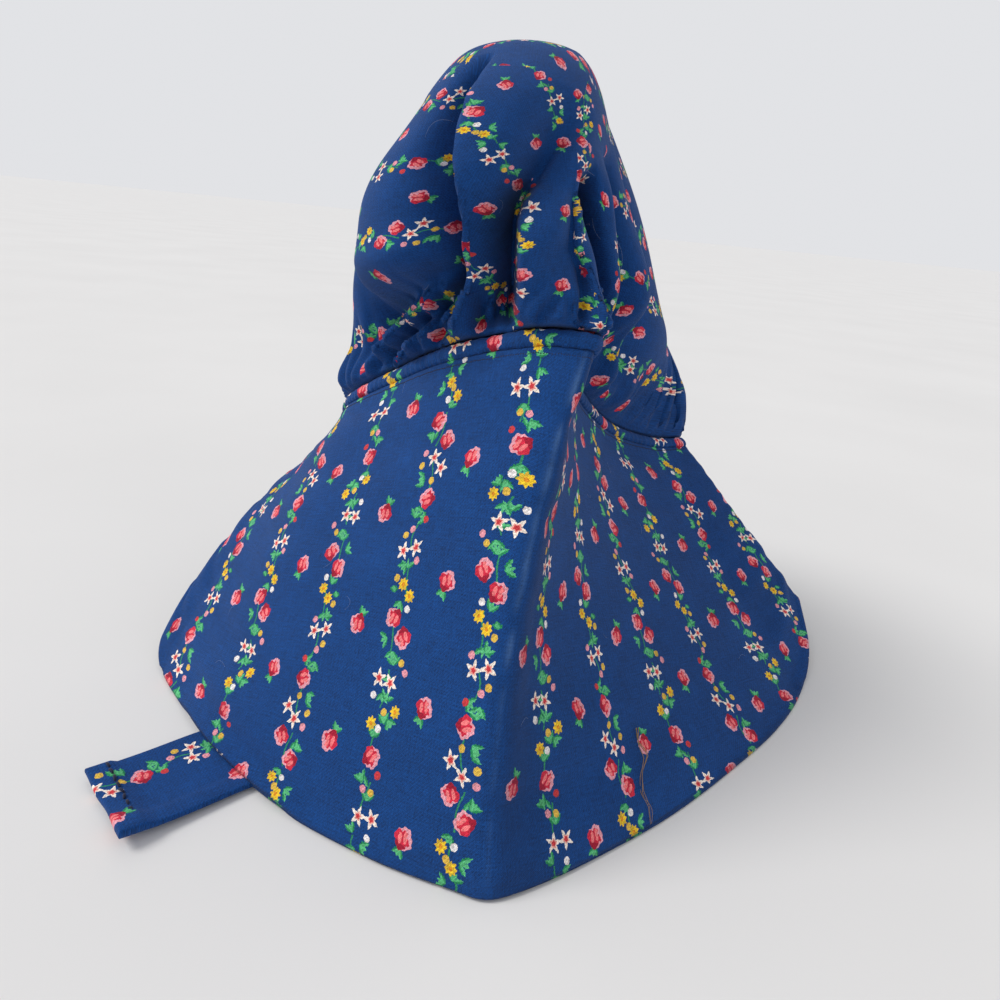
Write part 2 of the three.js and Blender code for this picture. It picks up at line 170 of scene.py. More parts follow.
# Creases of the crown's front, in millimetres: how far the cloth stands out on the left and over what width
# that fades, the same on the right, and how far the right side hangs over the left one. Each line runs
# through points of turn in degrees, rise and strength.
CREASES = {
    "front_edge": (-15, 7, 4, 10, 2.2, [
        (-9.5, 0.8, 0), (-9.4, 0.62, 1), (-9.3, 0.5, 1), (-8, 0.4, 1), (-6.9, 0.3, 1), (-6.6, 0.2, 1),
        (-7, 0.13, 1), (-9.2, 0.08, 0.9), (-13, 0.03, 0.6), (-17, 0, 0.3),
    ]),
    "second_edge": (-20, 7, 3.5, 7, 2.2, [
        (8, 0.4, 0), (5.6, 0.345, 0.6), (4.9, 0.3, 1), (5.4, 0.2, 1), (6.3, 0.1, 1), (5.8, 0.03, 0.8),
        (4.5, 0, 0.5),
    ]),
    "upper_valley": (-8, 5.5, -8, 5, 0, [
        (17, 0.66, 0), (10.5, 0.53, 0.8), (7, 0.42, 1), (4.5, 0.35, 1), (2, 0.28, 0.6), (0, 0.2, 0),
    ]),
    "slit": (-14, 1.9, -14, 1.9, 0, [
        (20, 0.43, 0), (20.5, 0.37, 1), (24, 0.28, 1), (26.5, 0.21, 1), (29, 0.13, 1), (33, 0.06, 0.8),
        (38, 0, 0.4),
    ]),
    "strip_fold": (-3, 2.4, 1, 2.5, 0.6, [
        (16, 0.4, 0), (16.3, 0.33, 1), (16.3, 0.27, 1), (16.6, 0.22, 1), (18.7, 0.155, 1), (21, 0.06, 0.6),
        (22, 0, 0),
    ]),
    "strip_lobe": (3, 3.5, 3, 3.5, 0, [
        (26, 0.54, 0), (29, 0.44, 1), (32, 0.3, 1), (34, 0.18, 1), (38, 0.08, 0.5), (42, 0, 0),
    ]),
    "right_valley": (-12, 3, -12, 7, 0, [
        (32, 0.58, 0), (37, 0.44, 1), (42, 0.3, 1), (46, 0.18, 1), (52, 0.08, 1), (58, 0, 0.5),
    ]),
    "back_valley": (-5, 9, -5, 14, 0, [(84, 0.5, 0), (88, 0.36, 1), (84, 0.22, 1), (80, 0.1, 0)]),
    "top_dent": (-2, 5, -2, 5, 0, [(-19, 0.6, 0), (-18, 0.47, 1), (-15, 0.36, 0.5), (-14, 0.28, 0)]),
    "underside": (-10.5, 3, -10.5, 4.5, 0, [
        (-8, 0.205, 0.3), (-16, 0.19, 1), (-27, 0.165, 1), (-45, 0.15, 1), (-62, 0.16, 0),
    ]),
    "upper_ridge": (5.8, 3, 5.8, 2.5, 0, [
        (-7, 0.22, 0.2), (-13.7, 0.175, 1), (-23.4, 0.135, 1), (-36.5, 0.105, 1), (-50, 0.06, 0.8),
        (-62, 0.02, 0),
    ]),
    "between_ridges": (-7.5, 2.2, -7.5, 2.2, 0, [
        (-8, 0.17, 0.4), (-14, 0.135, 1), (-22, 0.1, 1), (-34, 0.065, 1), (-48, 0.03, 1), (-58, 0.01, 0),
    ]),
    "lower_ridge": (5, 2.5, 5, 2.5, 0, [
        (-8, 0.125, 0.3), (-13, 0.1, 1), (-19, 0.08, 1), (-27, 0.05, 1), (-34, 0.03, 1), (-50, 0.01, 0),
    ]),
}
# Small pleats at the front of the seam: turn at the foot, turn at the head and rise of the head
PLEATS = [
    (9, 13, 0.11), (6.5, 9.5, 0.14), (-1, 1.5, 0.12), (-5, -2, 0.14), (15, 14.5, 0.1), (18, 17.5, 0.08),
]
for number, (foot, head, top) in enumerate(PLEATS):
    line = [(foot, -0.02, 1), (foot * 0.4 + head * 0.6, top * 0.6, 1), (head, top, 0)]
    CREASES[f"pleat_{number}"] = (-3, 0.9, -3, 1.3, 0, line)
# The creases between parts of the cloth that lie in different ways
BOUNDS = ["upper_valley", "second_edge", "strip_fold", "slit", "right_valley", "front_edge"]
# Rise above which the print lies flat on the crown's top, and its spacing there in metres
TOP_CUT = 0.74
TOP_SPACING = 0.0145
# Swellings of the crown's front: turn and rise of the middle, half width and half height, and how far out in
# millimetres
SWELLINGS = [
    (-34, 0.42, 20, 0.16, 4.5),
    (-32, 0.26, 16, 0.06, 2.0),
    (1, 0.42, 8, 0.20, 3.0),
    (12, 0.30, 6, 0.12, 2.5),
    (12, 0.20, 4, 0.05, -2.0),
    (16, 0.47, 6, 0.10, 3.0),
    (62, 0.30, 13, 0.14, 3.5),
    (100, 0.10, 22, 0.09, 4.0),
    (70, 0.07, 12, 0.06, 3.0),
]
# Metres of cloth in a radian of turn and in the full rise, for distances from the creases
CREASE_RADIUS = 0.045
CREASE_RISE = 0.075
# Widths over which a crease steps from one side to the other, its overhang fades, and its strength blends
CREASE_STEP = 0.0011
OVERHANG_REACH = 0.003
CREASE_BLEND = 0.003
# How far the gathered cloth puffs out over the seam roll
SEAM_PUFF = 0.0026
# Gathers round the crown, and how far they are set in
GATHERS = 66
GATHER_SETBACK = 0.0006
# Sharp nips between the gathers: half width as a share of a gather, and depth
NIP_WIDTH = 0.17
NIP_DEPTH = 0.0038
# Half height and half thickness of the seam roll, and how far it is set down to meet the brim
ROLL_HEIGHT = 0.0019
ROLL_THICKNESS = 0.00125
ROLL_DROP = 0.0004
# Spacing of the stitches below the seam as a share of half the brim, and fibres of lint on brim and crown
STITCH_STEP = 0.0068
LINT_COUNT = 16
LINT_RADIUS = 0.00002
# Frayed thread at the foot of the brim: place and fall of its points
FRAY_POINTS = [
    (0.322, 0.8), (0.318, 0.83), (0.322, 0.86), (0.3, 0.89), (0.287, 0.925), (0.292, 0.955), (0.286, 0.985),
]
FRAY_RADIUS = 0.00009
FLOOR_HALF = 40.0
FLOOR_DROP = -0.0002
# The rise from which the crown's top rounds over
ROUND_TOP = 0.84
# How much closer than elsewhere the crown's columns stand at the front
FRONT_CROWDING = 0.62

# How the print lies on each part of the crown: a point of turn and rise, the print's u and v there, the angle
# of its stripes from upright, and the millimetres of cloth to one spacing across the stripes and along them
DRAPES = {
    "bulge": (340, 0.40, 1.5, 0.12, 90, 13.5, 15.5),
    "front": (-3, 0.345, 1.5, 0.12, 30, 12.5, 13),
    "lobe": (5.3, 0.12, 1.0, 0.12, 0, 12.5, 14),
    "strip": (18.1, 0.12, 4.0, 0.2, 0, 12.5, 14),
    "right": (33.5, 0.12, 6.0, 0.6, 0, 11.5, 14),
}

# Ties: place along the brim where each is sewn, and the way its free end lies, in degrees from +X
TIES = {"right": (0.86, 224), "left": (-0.9, 43)}


def as_table(columns, rows):
    return {name: np.array([row[i] for row in rows], float) for i, name in enumerate(columns)}


BRIM = as_table(BRIM_COLUMNS, BRIM_ROWS)
PRINT = as_table(PRINT_COLUMNS, PRINT_ROWS)
CROWN = as_table(CROWN_COLUMNS, CROWN_ROWS)


def smooth(low, high, value):
    t = np.clip((np.asarray(value, float) - low) / (high - low), 0, 1)
    return t * t * (3 - 2 * t)


def cubic(a, b, start, end, t):
    """A smooth curve from a to b, with its slope at the start and at the end"""
    t2, t3 = t * t, t * t * t
    return a * (2 * t3 - 3 * t2 + 1) + start * (t3 - 2 * t2 + t) + b * (3 * t2 - 2 * t3) + end * (t3 - t2)


def read(table, key, column, at):
    """One column of a table at any place between its rows, on a smooth curve through them"""
    x, y = table[key], table[column]
    at = np.asarray(at, float)
    last = len(x) - 1
    low = np.maximum(np.arange(last + 1) - 1, 0)
    high = np.minimum(np.arange(last + 1) + 1, last)
    slope = (y[high] - y[low]) / (x[high] - x[low])
    i = np.clip(np.searchsorted(x, at, side="left") - 1, 0, last - 1)
    span = x[i + 1] - x[i]
    return cubic(y[i], y[i + 1], slope[i] * span, slope[i + 1] * span, np.clip((at - x[i]) / span, 0, 1))


def unit(v):
    return v / np.maximum(np.linalg.norm(v, axis=-1, keepdims=True), 1e-12)


def end_point(end, place):
    x, y, z = (read(BRIM, "place", f"{end}_{axis}", place) for axis in "xyz")
    return np.stack([x * BRIM_SPREAD, y * BRIM_REACH, np.maximum(z, 0) * APEX_HEIGHT], -1)


def seam_point(place):
    return end_point("seam", place)


def foot_point(place):
    return end_point("foot", place)


def brim_point(place, fall):
    """Outer face of the brim. fall runs from 0 at the seam to 1 at the front edge."""
    place = np.asarray(place, float)
    fall = np.asarray(fall, float)
    seam, foot = seam_point(place), foot_point(place)
    low, high = np.maximum(place - 0.01, -1), np.minimum(place + 0.01, 1)
    before = foot_point(low) + seam_point(low)
    after = foot_point(high) + seam_point(high)
    outward = unit(np.cross(after - before, seam - foot))
    hump = 4 * fall * (1 - fall)
    bow = read(BRIM, "place", "bow", place) * APEX_HEIGHT * hump
    point = seam + (foot - seam) * fall[..., None] + outward * bow[..., None]
    point[..., 0] += read(BRIM, "place", "swing", place) * BRIM_SPREAD * hump
    return point


def past_seam(place):
    place = np.asarray(place, float)
    return unit(brim_point(place, np.zeros_like(place)) - brim_point(place, np.full_like(place, 0.08)))


def crown_seat(place):
    return seam_point(place) + past_seam(place) * (4 * SEAT_GAP + WELT_DIAMETER)


def neck_back():
    right, left = crown_seat(1.0), crown_seat(-1.0)
    return unit(-np.array([right[1] - left[1], left[0] - right[0], 0.0]))


def neck_point(share):
    share = np.asarray(share, float)[..., None]
    right, left = crown_seat(1.0), crown_seat(-1.0)
    return right + (left - right) * share + neck_back() * (NECK_BOW * 4 * share * (1 - share))


def crown_base(round_share):
    a = crown_seat(np.clip(round_share / RIGHT_SHARE, 0, 1))
    b = neck_point(np.clip((round_share - RIGHT_SHARE) / (LEFT_SHARE - RIGHT_SHARE), 0, 1))
    c = crown_seat(np.clip((round_share - LEFT_SHARE) / (1 - LEFT_SHARE) - 1, -1, 0))
    first = (round_share < RIGHT_SHARE)[..., None]
    second = (round_share < LEFT_SHARE)[..., None]
    return np.where(first, a, np.where(second, b, c))


def crown_reach(rise, turn):
    eighth = np.mod(turn / (2 * math.pi) * 8, 8)
    k = np.floor(eighth).astype(int)
    t = eighth - k
    every = np.stack([read(CROWN, "rise", name, rise) for name in REACHES], -1)

    def at(j):
        return np.take_along_axis(every, np.mod(j, 8)[..., None], -1)[..., 0]

    start, end = (at(k + 1) - at(k - 1)) / 2, (at(k + 2) - at(k)) / 2
    share = cubic(at(k), at(k + 1), start, end, t)
    return share * np.hypot(CROWN_WIDTH * np.sin(turn), CROWN_DEPTH * np.cos(turn))


def fold_depth(rise, turn):
    degrees = np.degrees(turn)
    depth = np.zeros_like(degrees)
    for middle, lean, width, deep, low, high in FOLDS:
        away = np.mod(degrees - (middle + lean * rise) + 540, 360) - 180
        held = smooth(low - 0.12, low + 0.08, rise) * (1 - smooth(high - 0.15, high + 0.05, rise))
        depth += deep * CROWN_WIDTH * held * np.exp(-((away / width) ** 2))
    return depth


def crease_side(line, rise, turn):
    """Distance from a crease in metres, positive on its right seen from its first point, its strength there,
    and the direction of its right side"""
    ends = np.array([(math.radians(t) * CREASE_RADIUS, r * CREASE_RISE) for t, r, _ in line])
    away = np.mod(turn + math.pi, 2 * math.pi) - math.pi
    x, y = away * CREASE_RADIUS, rise * CREASE_RISE
    aparts, sides, strengths, ways = [], [], [], []
    for i in range(len(ends) - 1):
        step = ends[i + 1] - ends[i]
        dx, dy = x - ends[i][0], y - ends[i][1]
        t = np.clip((dx * step[0] + dy * step[1]) / (step @ step), 0, 1)
        aparts.append(np.hypot(dx - t * step[0], dy - t * step[1]))
        sides.append(np.sign(step[0] * dy - step[1] * dx))
        strengths.append(line[i][2] * (1 - t) + line[i + 1][2] * t)
        ways.append(np.array([-step[1], step[0]]) / np.hypot(*step))
    aparts, sides, strengths = np.array(aparts), np.array(sides), np.array(strengths)
    first = np.argmin(aparts, 0)[None]
    nearest = np.take_along_axis(aparts, first, 0)[0]
    side = np.take_along_axis(sides, first, 0)[0]
    weights = np.exp((nearest - aparts) / CREASE_BLEND)
    return nearest * side, (weights * strengths).sum(0) / weights.sum(0), np.array(ways)[first[0]]


def crease_forms(rise, turn):
    """How far the creases and swellings push the cloth out, sideways in radians of turn, and up"""
    out, aside, upward = np.zeros_like(turn), np.zeros_like(turn), np.zeros_like(turn)
    for left, left_reach, right, right_reach, over, line in CREASES.values():
        apart, strength, way = crease_side(line, rise, turn)
        on_right = smooth(-CREASE_STEP, CREASE_STEP, apart)
        from_left = left * np.exp(-((apart / left_reach * 1000) ** 2))
        from_right = right * np.exp(-((apart / right_reach * 1000) ** 2))
        out += (from_left * (1 - on_right) + from_right * on_right) * strength / 1000
        rolled = on_right * np.exp(-((apart / OVERHANG_REACH) ** 2))
        push = over / 1000 * rolled * strength
        aside -= push * way[..., 0] / CREASE_RADIUS
        upward -= push * way[..., 1]
    degrees = np.degrees(turn)
    for at_turn, at_rise, wide, high, swell in SWELLINGS:
        across = (np.mod(degrees - at_turn + 180, 360) - 180) / wide
        out += swell / 1000 * np.exp(-(across**2) - ((rise - at_rise) / high) ** 2)
    return out, aside, upward


def crown_region(rise, turn):
    """Which part of the crown's cloth a point belongs to, as its number among the drapes"""
    near = np.mod(np.degrees(turn) + 180, 360) - 180
    sides = {name: crease_side(CREASES[name][-1], rise, turn)[0] for name in BOUNDS}
    on_lobe = np.where(rise > 0.35, sides["upper_valley"], sides["second_edge"]) > 0
    name = np.where(on_lobe, "lobe", "front")
    name = np.where((sides["strip_fold"] > 0) & on_lobe, "strip", name)
    name = np.where((sides["slit"] > 0) & on_lobe, "right", name)
    behind = (sides["right_valley"] > 0) | (sides["front_edge"] < 0) | (np.abs(near) > 75)
    return np.where(rise > TOP_CUT, "top", np.where(behind, "bulge", name))


def crown_print(region, middle, rise, turn, place):
    """The print's coordinates at a corner of a face, given the face's region and the turn of its middle. They
    turn with the cloth from fold to fold, and lie flat on the top."""
    apart = np.degrees(np.mod(turn - middle + math.pi, 2 * math.pi) - math.pi)
    around = np.mod(np.degrees(middle) - 38, 360) + 38 + apart
    near = np.mod(np.degrees(middle) + 180, 360) - 180 + apart
    uv = np.stack([place[..., 1] / TOP_SPACING + 0.3, place[..., 0] / TOP_SPACING], -1)
    for name, (at_turn, at_rise, u, v, angle, across, along) in DRAPES.items():
        x = np.radians((around if name == "bulge" else near) - at_turn) * CREASE_RADIUS * 1000
        y = (rise - at_rise) * CREASE_RISE * 1000
        c, s = math.cos(math.radians(angle)), math.sin(math.radians(angle))
        spot = np.stack([u + (x * c + y * s) / across, v + (x * s - y * c) / along], -1)
        uv = np.where((region == name)[..., None], spot, uv)
    return uv


def wave(x, seed, count=4):
    """A smooth line that wanders between about -1 and 1, the same each time for one seed"""
    draw = random.Random(seed)
    total = np.zeros_like(np.asarray(x, float))
    for _ in range(count):
        total += math.sqrt(2 / count) * np.sin(draw.uniform(0.6, 1.8) * np.asarray(x) + draw.uniform(0, 7))
    return total * 0.7


def crown_turn(round_share, rise):
    base = crown_base(round_share)
    mid_x = read(CROWN, "rise", "mid_x", rise) * BRIM_SPREAD
    mid_y = read(CROWN, "rise", "mid_y", rise) * BRIM_REACH
    return base, mid_x, mid_y, np.arctan2(base[..., 0] - mid_x, mid_y - base[..., 1])


def crown_point(round_share, rise):
    """Outer face of the crown. round_share runs from the front towards the right."""
    base, mid_x, mid_y, turn = crown_turn(round_share, rise)
    settled = smooth(0, 0.28, rise)
    out, aside, upward = crease_forms(rise, turn)
    from_seam = smooth(0, 0.05, rise)
    puff = SEAM_PUFF * smooth(0, 0.02, rise) * (1 - smooth(0.03, 0.14, rise))
    plain = np.hypot(base[..., 0] - mid_x, base[..., 1] - mid_y) * (1 - settled)
    plain += crown_reach(rise, turn) * settled
    reach = plain - fold_depth(rise, turn) * smooth(0, 0.12, rise) + out * from_seam + puff
    reach += gathers(round_share, rise) * smooth(0, 0.04, rise)
    reach = reach * np.sqrt(1 - np.clip((rise - ROUND_TOP) / (1 - ROUND_TOP), 0, 1) ** 2)
    turn = turn + aside * from_seam
    height = base[..., 2] + (CROWN_TOP - base[..., 2]) * (1 - (1 - rise) ** 1.25) + upward * from_seam
    return np.stack([mid_x + reach * np.sin(turn), mid_y - reach * np.cos(turn), height], -1)


def gathers(round_share, rise):
    """Small pleats that spring from the seam and fade out up the crown"""
    total = np.zeros_like(round_share)
    draw = random.Random(11)
    for k in range(GATHERS):
        middle = (k + draw.uniform(-0.3, 0.3)) / GATHERS
        width = draw.uniform(0.30, 0.52) / GATHERS
        height = draw.uniform(0.10, 0.42)
        deep = draw.uniform(0.0010, 0.0026)
        lean = draw.uniform(-0.6, 0.6) / GATHERS
        away = np.mod(round_share - middle - lean * rise / height + 0.5, 1) - 0.5
        spread = width * (1 + 1.4 * rise / height)
        total += deep * (1 - smooth(0.25 * height, height, rise)) * np.exp(-((away / spread) ** 2))
        nip_middle = (k + draw.uniform(0.3, 0.7)) / GATHERS
        nip = np.mod(round_share - nip_middle - lean * rise / height + 0.5, 1) - 0.5
        narrow = NIP_WIDTH * (1 + 0.6 * (1 - math.cos(2 * math.pi * middle))) / GATHERS
        tall = draw.uniform(0.08, 0.26)
        nip_depth = draw.uniform(0.5, 1) * NIP_DEPTH
        total -= nip_depth * (1 - smooth(0.3 * tall, tall, rise)) * np.exp(-((nip / narrow) ** 2))
    return total - GATHER_SETBACK


def grid_normals(grid, wraps):
    if wraps:
        along = np.roll(grid, -1, 1) - np.roll(grid, 1, 1)
    else:
        along = np.empty_like(grid)
        along[:, 1:-1] = grid[:, 2:] - grid[:, :-2]
        along[:, 0] = grid[:, 1] - grid[:, 0]
        along[:, -1] = grid[:, -1] - grid[:, -2]
    up = np.empty_like(grid)
    up[1:-1] = grid[2:] - grid[:-2]
    up[0] = grid[1] - grid[0]
    up[-1] = grid[-1] - grid[-2]
    return unit(np.cross(along, up))


def make_object(name, points, faces, material, uvs=None, wear_and_shade=None):
    """One mesh piece. uvs has one pair for each corner of each face."""
    mesh = bpy.data.meshes.new(name)
    mesh.from_pydata(points.tolist(), [], faces)
    mesh.update()
    mesh.polygons.foreach_set("use_smooth", [True] * len(mesh.polygons))
    mesh.materials.append(material)
    if uvs is not None:
        layer = mesh.uv_layers.new(name="Fabric")
        layer.data.foreach_set("uv", np.asarray(uvs, np.float32).ravel())
    if wear_and_shade is not None:
        attribute = mesh.attributes.new("WearAndShade", "FLOAT", "POINT")
        attribute.data.foreach_set("value", np.asarray(wear_and_shade, np.float32).ravel())
    obj = bpy.data.objects.new(name, mesh)
    bpy.context.scene.collection.objects.link(obj)
    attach(obj, "root")
    return obj


def sheet_object(name, centre, thick, uv, node, wraps=False, closes=False, wear_and_shade=None):
    """A sheet of cloth round a grid of points, [row][column], that stands for a node. thick is 0 along its
    edges, where its two faces meet. With wraps the columns go round, and with closes the last row is a point.
    uv has a pair for each point, or four for each face."""
    rows, columns = centre.shape[:2]
    half = grid_normals(centre, wraps) * thick[..., None] / 2
    outer, inner = centre + half, centre - half
    outer[..., 2] = np.maximum(outer[..., 2], 0)
    inner[..., 2] = np.maximum(inner[..., 2], 0)
    front = np.arange(rows * columns).reshape(rows, columns)
    back = np.where(thick > 1e-7, front + rows * columns, front)
    if closes:
        front[-1] = front[-1, 0]
        back[-1] = rows * columns + (rows - 1) * columns
    if uv.ndim == 3:
        uv = np.stack([uv[:-1, :-1], uv[:-1, 1:], uv[1:, 1:], uv[1:, :-1]], 2)
    j = np.arange(columns if wraps else columns - 1)
    k = np.mod(j + 1, columns)
    faces, corners = [], []
    for side, order in ((front, 1), (back, -1)):
        for i in range(rows - 1):
            quads = np.stack([side[i, j], side[i, k], side[i + 1, k], side[i + 1, j]], -1)
            size = 3 if closes and i == rows - 2 else 4
            faces.extend(quads[:, :size][:, ::order].tolist())
            corners.append(uv[i][:, :size][:, ::order].reshape(-1, 2))
    points = np.concatenate([outer.reshape(-1, 3), inner.reshape(-1, 3)])
    used = np.zeros(len(points), bool)
    used[[n for face in faces for n in face]] = True
    number = np.cumsum(used) - 1
    faces = [[int(number[n]) for n in face] for face in faces]
    if wear_and_shade is not None:
        wear_and_shade = np.concatenate([wear_and_shade.ravel(), wear_and_shade.ravel()])[used]
    sheet = make_object(name, points[used], faces, COTTON, np.concatenate(corners), wear_and_shade)
    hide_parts(node)
    return sheet


def toward_edges(count, edge, length):
    """Shares from 0 to 1, close together within edge of each end"""
    inner = np.linspace(edge / length, 1 - edge / length, count)
    turn = np.array([0.0, 0.08, 0.3, 0.6]) * edge / length
    return np.concatenate([turn, inner, 1 - turn[::-1]])


def folded_edges(wall, *distances):
    """Thickness of cloth with rounded edges, at given distances from those edges"""
    shares = [1 - np.clip(distance / (wall / 2), 0, 1) for distance in distances]
    return wall * np.sqrt(np.maximum(1 - np.maximum.reduce(shares) ** 2, 0))


# Colours, as 0 to 255 on a screen
def paint(red, green, blue):
    def linear(c):
        c /= 255
        return c / 12.92 if c <= 0.04045 else ((c + 0.055) / 1.055) ** 2.4

    return (linear(red), linear(green), linear(blue), 1.0)


GROUND = paint(8, 63, 126)
ROSE_RED = paint(214, 40, 62)
ROSE_DEEP = paint(168, 20, 44)
ROSE_SALMON = paint(252, 128, 128)
ROSE_PALE = paint(240, 164, 176)
CREAM = paint(252, 238, 224)
STAR_CORE = paint(212, 60, 62)
STAR_BLUSH = paint(246, 166, 152)
YELLOW_CORE = paint(232, 150, 24)
# White, yellow, pink and red buds, and yellow blossoms
BUD_COLOURS = [
    paint(244, 238, 236), paint(232, 190, 74), paint(240, 158, 170), STAR_CORE, paint(250, 206, 40),
]
BUD_SHADE = paint(120, 90, 60)
LEAF_LIGHT = paint(92, 190, 124)
LEAF_DARK = paint(38, 140, 82)
STEM_GREEN = paint(48, 140, 92)
WORN_BLUE = paint(92, 130, 180)
# Painted shade: a dark blue mixed in where the mesh's wear attribute is below zero, beside the brim's crease
# and along its front edge
PAINTED_SHADE_BLUE = paint(3, 22, 56)
THREAD_SHADE = paint(8, 12, 26)
FLOOR_COLOURS = paint(222, 221, 220), paint(232, 231, 230)

# The print repeats after this many stripe spacings along a stripe
REPEAT = 4.256
TURNED_ABOUT = 2.778
LONE_REPEAT = 1.064

# One stripe of the print. v is along it, from 0 to REPEAT, and off is across it.
ROSES_FIRST = [(0.006, -0.004, 0.1), (1.048, -0.104, 0.4), (2.298, -0.025, 0.7), (2.846, -0.098, 0.95)]
ROSES_SECOND = [(1.208, 0.0625, 0.55), (3.0375, 0.067, 0.15)]
STARS_FIRST = [(0.652, -0.058, 0.05), (1.808, 0.108, 0.14), (2.575, -0.12, 0.1), (3.773, -0.135, 0.02)]
STARS_SECOND = [(0.673, 0.083, 0.16), (1.846, -0.04, 0.03), (2.677, 0.01, 0.18), (3.762, 0.017, 0.12)]

# Kinds of small flowers, and the code by which the nodes know them
WHITE_BUD, YELLOW_BUD, PINK_BUD, RED_BUD, BLOSSOM = 0.1, 0.3, 0.5, 0.7, 0.9
DOTS_FIRST = [
    (0.252, -0.015, WHITE_BUD), (0.396, -0.04, YELLOW_BUD), (0.517, 0.12, WHITE_BUD),
    (0.76, -0.204, PINK_BUD), (1.304, -0.083, WHITE_BUD), (1.417, -0.0875, BLOSSOM),
    (1.558, 0.11, YELLOW_BUD), (1.735, -0.0875, PINK_BUD), (1.95, 0.135, YELLOW_BUD),
    (2.11, -0.07, RED_BUD), (2.465, -0.025, YELLOW_BUD), (2.604, 0.146, YELLOW_BUD),
    (2.725, 0.146, PINK_BUD), (3.2625, -0.125, BLOSSOM), (3.402, -0.01, BLOSSOM),
    (3.61, -0.115, WHITE_BUD), (3.981, -0.07, YELLOW_BUD),
]
DOTS_SECOND = [
    (0.281, 0.077, BLOSSOM), (0.423, -0.167, BLOSSOM), (0.835, -0.14, YELLOW_BUD), (1.51, 0.015, BLOSSOM),
    (2.01, 0.07, PINK_BUD), (3.24, 0.0, WHITE_BUD), (3.344, -0.06, YELLOW_BUD), (3.991, 0.025, PINK_BUD),
    (4.137, -0.115, RED_BUD),
]
# Leaves: v and off of the point they spring from, half the spread of a pair, and turn, both in turns
LEAVES_FIRST = [
    (0.173, 0.045, 0.12, 0.30), (0.345, -0.10, 0.10, 0.62), (0.56, 0.01, 0.11, 0.75),
    (0.80, -0.05, 0.13, 0.22), (1.027, 0.083, 0.12, 0.92), (1.37, 0.01, 0.10, 0.80),
    (1.66, 0.017, 0.15, 0.25), (2.11, -0.06, 0.12, 0.05), (2.22, 0.083, 0.13, 0.70),
    (2.50, 0.07, 0.12, 0.95), (2.86, 0.094, 0.12, 0.20), (3.16, -0.03, 0.11, 0.35),
    (3.50, 0.00, 0.12, 0.85), (3.606, 0.05, 0.08, 0.15), (3.898, -0.04, 0.12, 0.25),
    (4.11, 0.03, 0.14, 0.80),
]
LEAVES_SECOND = [
    (0.30, -0.07, 0.09, 0.20), (0.50, -0.03, 0.13, 0.30), (0.70, -0.06, 0.10, 0.85),
    (0.92, -0.01, 0.14, 0.75), (1.43, 0.10, 0.09, 0.20), (1.49, 0.13, 0.12, 0.72),
    (1.70, 0.04, 0.10, 0.85), (2.12, 0.083, 0.13, 0.28), (2.42, 0.07, 0.10, 0.10),
    (2.93, 0.10, 0.10, 0.88), (3.34, 0.0625, 0.12, 0.05), (3.54, -0.05, 0.10, 0.55),
    (4.05, 0.04, 0.10, 0.15),
]


class Value:
    """The output of a shader node, with which the next nodes are made by plain arithmetic"""

    def __init__(self, nodes, socket):
        self.nodes, self.socket = nodes, socket

    def __add__(self, other):
        return self.nodes.math("ADD", self, other)

    def __sub__(self, other):
        return self.nodes.math("SUBTRACT", self, other)

    def __rsub__(self, other):
        return self.nodes.math("SUBTRACT", other, self)

    def __mul__(self, other):
        return self.nodes.math("MULTIPLY", self, other)

    def __lt__(self, other):
        return self.nodes.math("LESS_THAN", self, other)

    def __gt__(self, other):
        return self.nodes.math("GREATER_THAN", self, other)

    __radd__ = __add__
    __rmul__ = __mul__


class Nodes:
    """Makes shader nodes in one tree and joins them. A value is a number or another node's output."""

    def __init__(self, tree):
        self.tree = tree

    def add(self, kind, **settings):
        node = self.tree.nodes.new(kind)
        for name, value in settings.items():
            setattr(node, name, value)
        return node

    def put(self, socket, value):
        if isinstance(value, Value):
            self.tree.links.new(value.socket, socket)
        else:
            socket.default_value = value

    def made(self, node, values, output=0):
        """A node's output, once the values are put into its inputs"""
        for socket, value in zip(node.inputs, values):
            self.put(socket, value)
        return Value(self, node.outputs[output])

    def math(self, operation, *values, clamp=False):
        return self.made(self.add("ShaderNodeMath", operation=operation, use_clamp=clamp), values)

    def sine(self, value):
        return self.math("SINE", value)

    def most(self, a, b):
        return self.math("MAXIMUM", a, b)

    def mix(self, share, a, b, blend="MIX"):
        node = self.add("ShaderNodeMix", data_type="RGBA", blend_type=blend)
        for number, value in ((0, share), (6, a), (7, b)):
            self.put(node.inputs[number], value)
        return Value(self, node.outputs[2])

    def ramp(self, value, stops):
        """Colour and fourth number of the last stop at or below a value"""
        node = self.add("ShaderNodeValToRGB")
        node.color_ramp.interpolation = "CONSTANT"
        elements = node.color_ramp.elements
        elements[0].position, elements[0].color = stops[0]
        elements[1].position, elements[1].color = stops[-1]
        for position, colour in stops[1:-1]:
            elements.new(position).color = colour
        return self.made(node, [value]), Value(self, node.outputs[1])

    def noise(self, vector, scale, detail=2.0, roughness=0.5, output=0):
        node = self.add("ShaderNodeTexNoise")
        node.inputs["Scale"].default_value = scale
        node.inputs["Detail"].default_value = detail
        node.inputs["Roughness"].default_value = roughness
        return self.made(node, [vector], output)

    def xyz(self, vector):
        node = self.add("ShaderNodeSeparateXYZ")
        self.put(node.inputs[0], vector)
        return [Value(self, output) for output in node.outputs]

    def vector(self, x, y, z=0.0):
        return self.made(self.add("ShaderNodeCombineXYZ"), (x, y, z))

    def vectors(self, operation, a, b):
        return self.made(self.add("ShaderNodeVectorMath", operation=operation), (a, b))


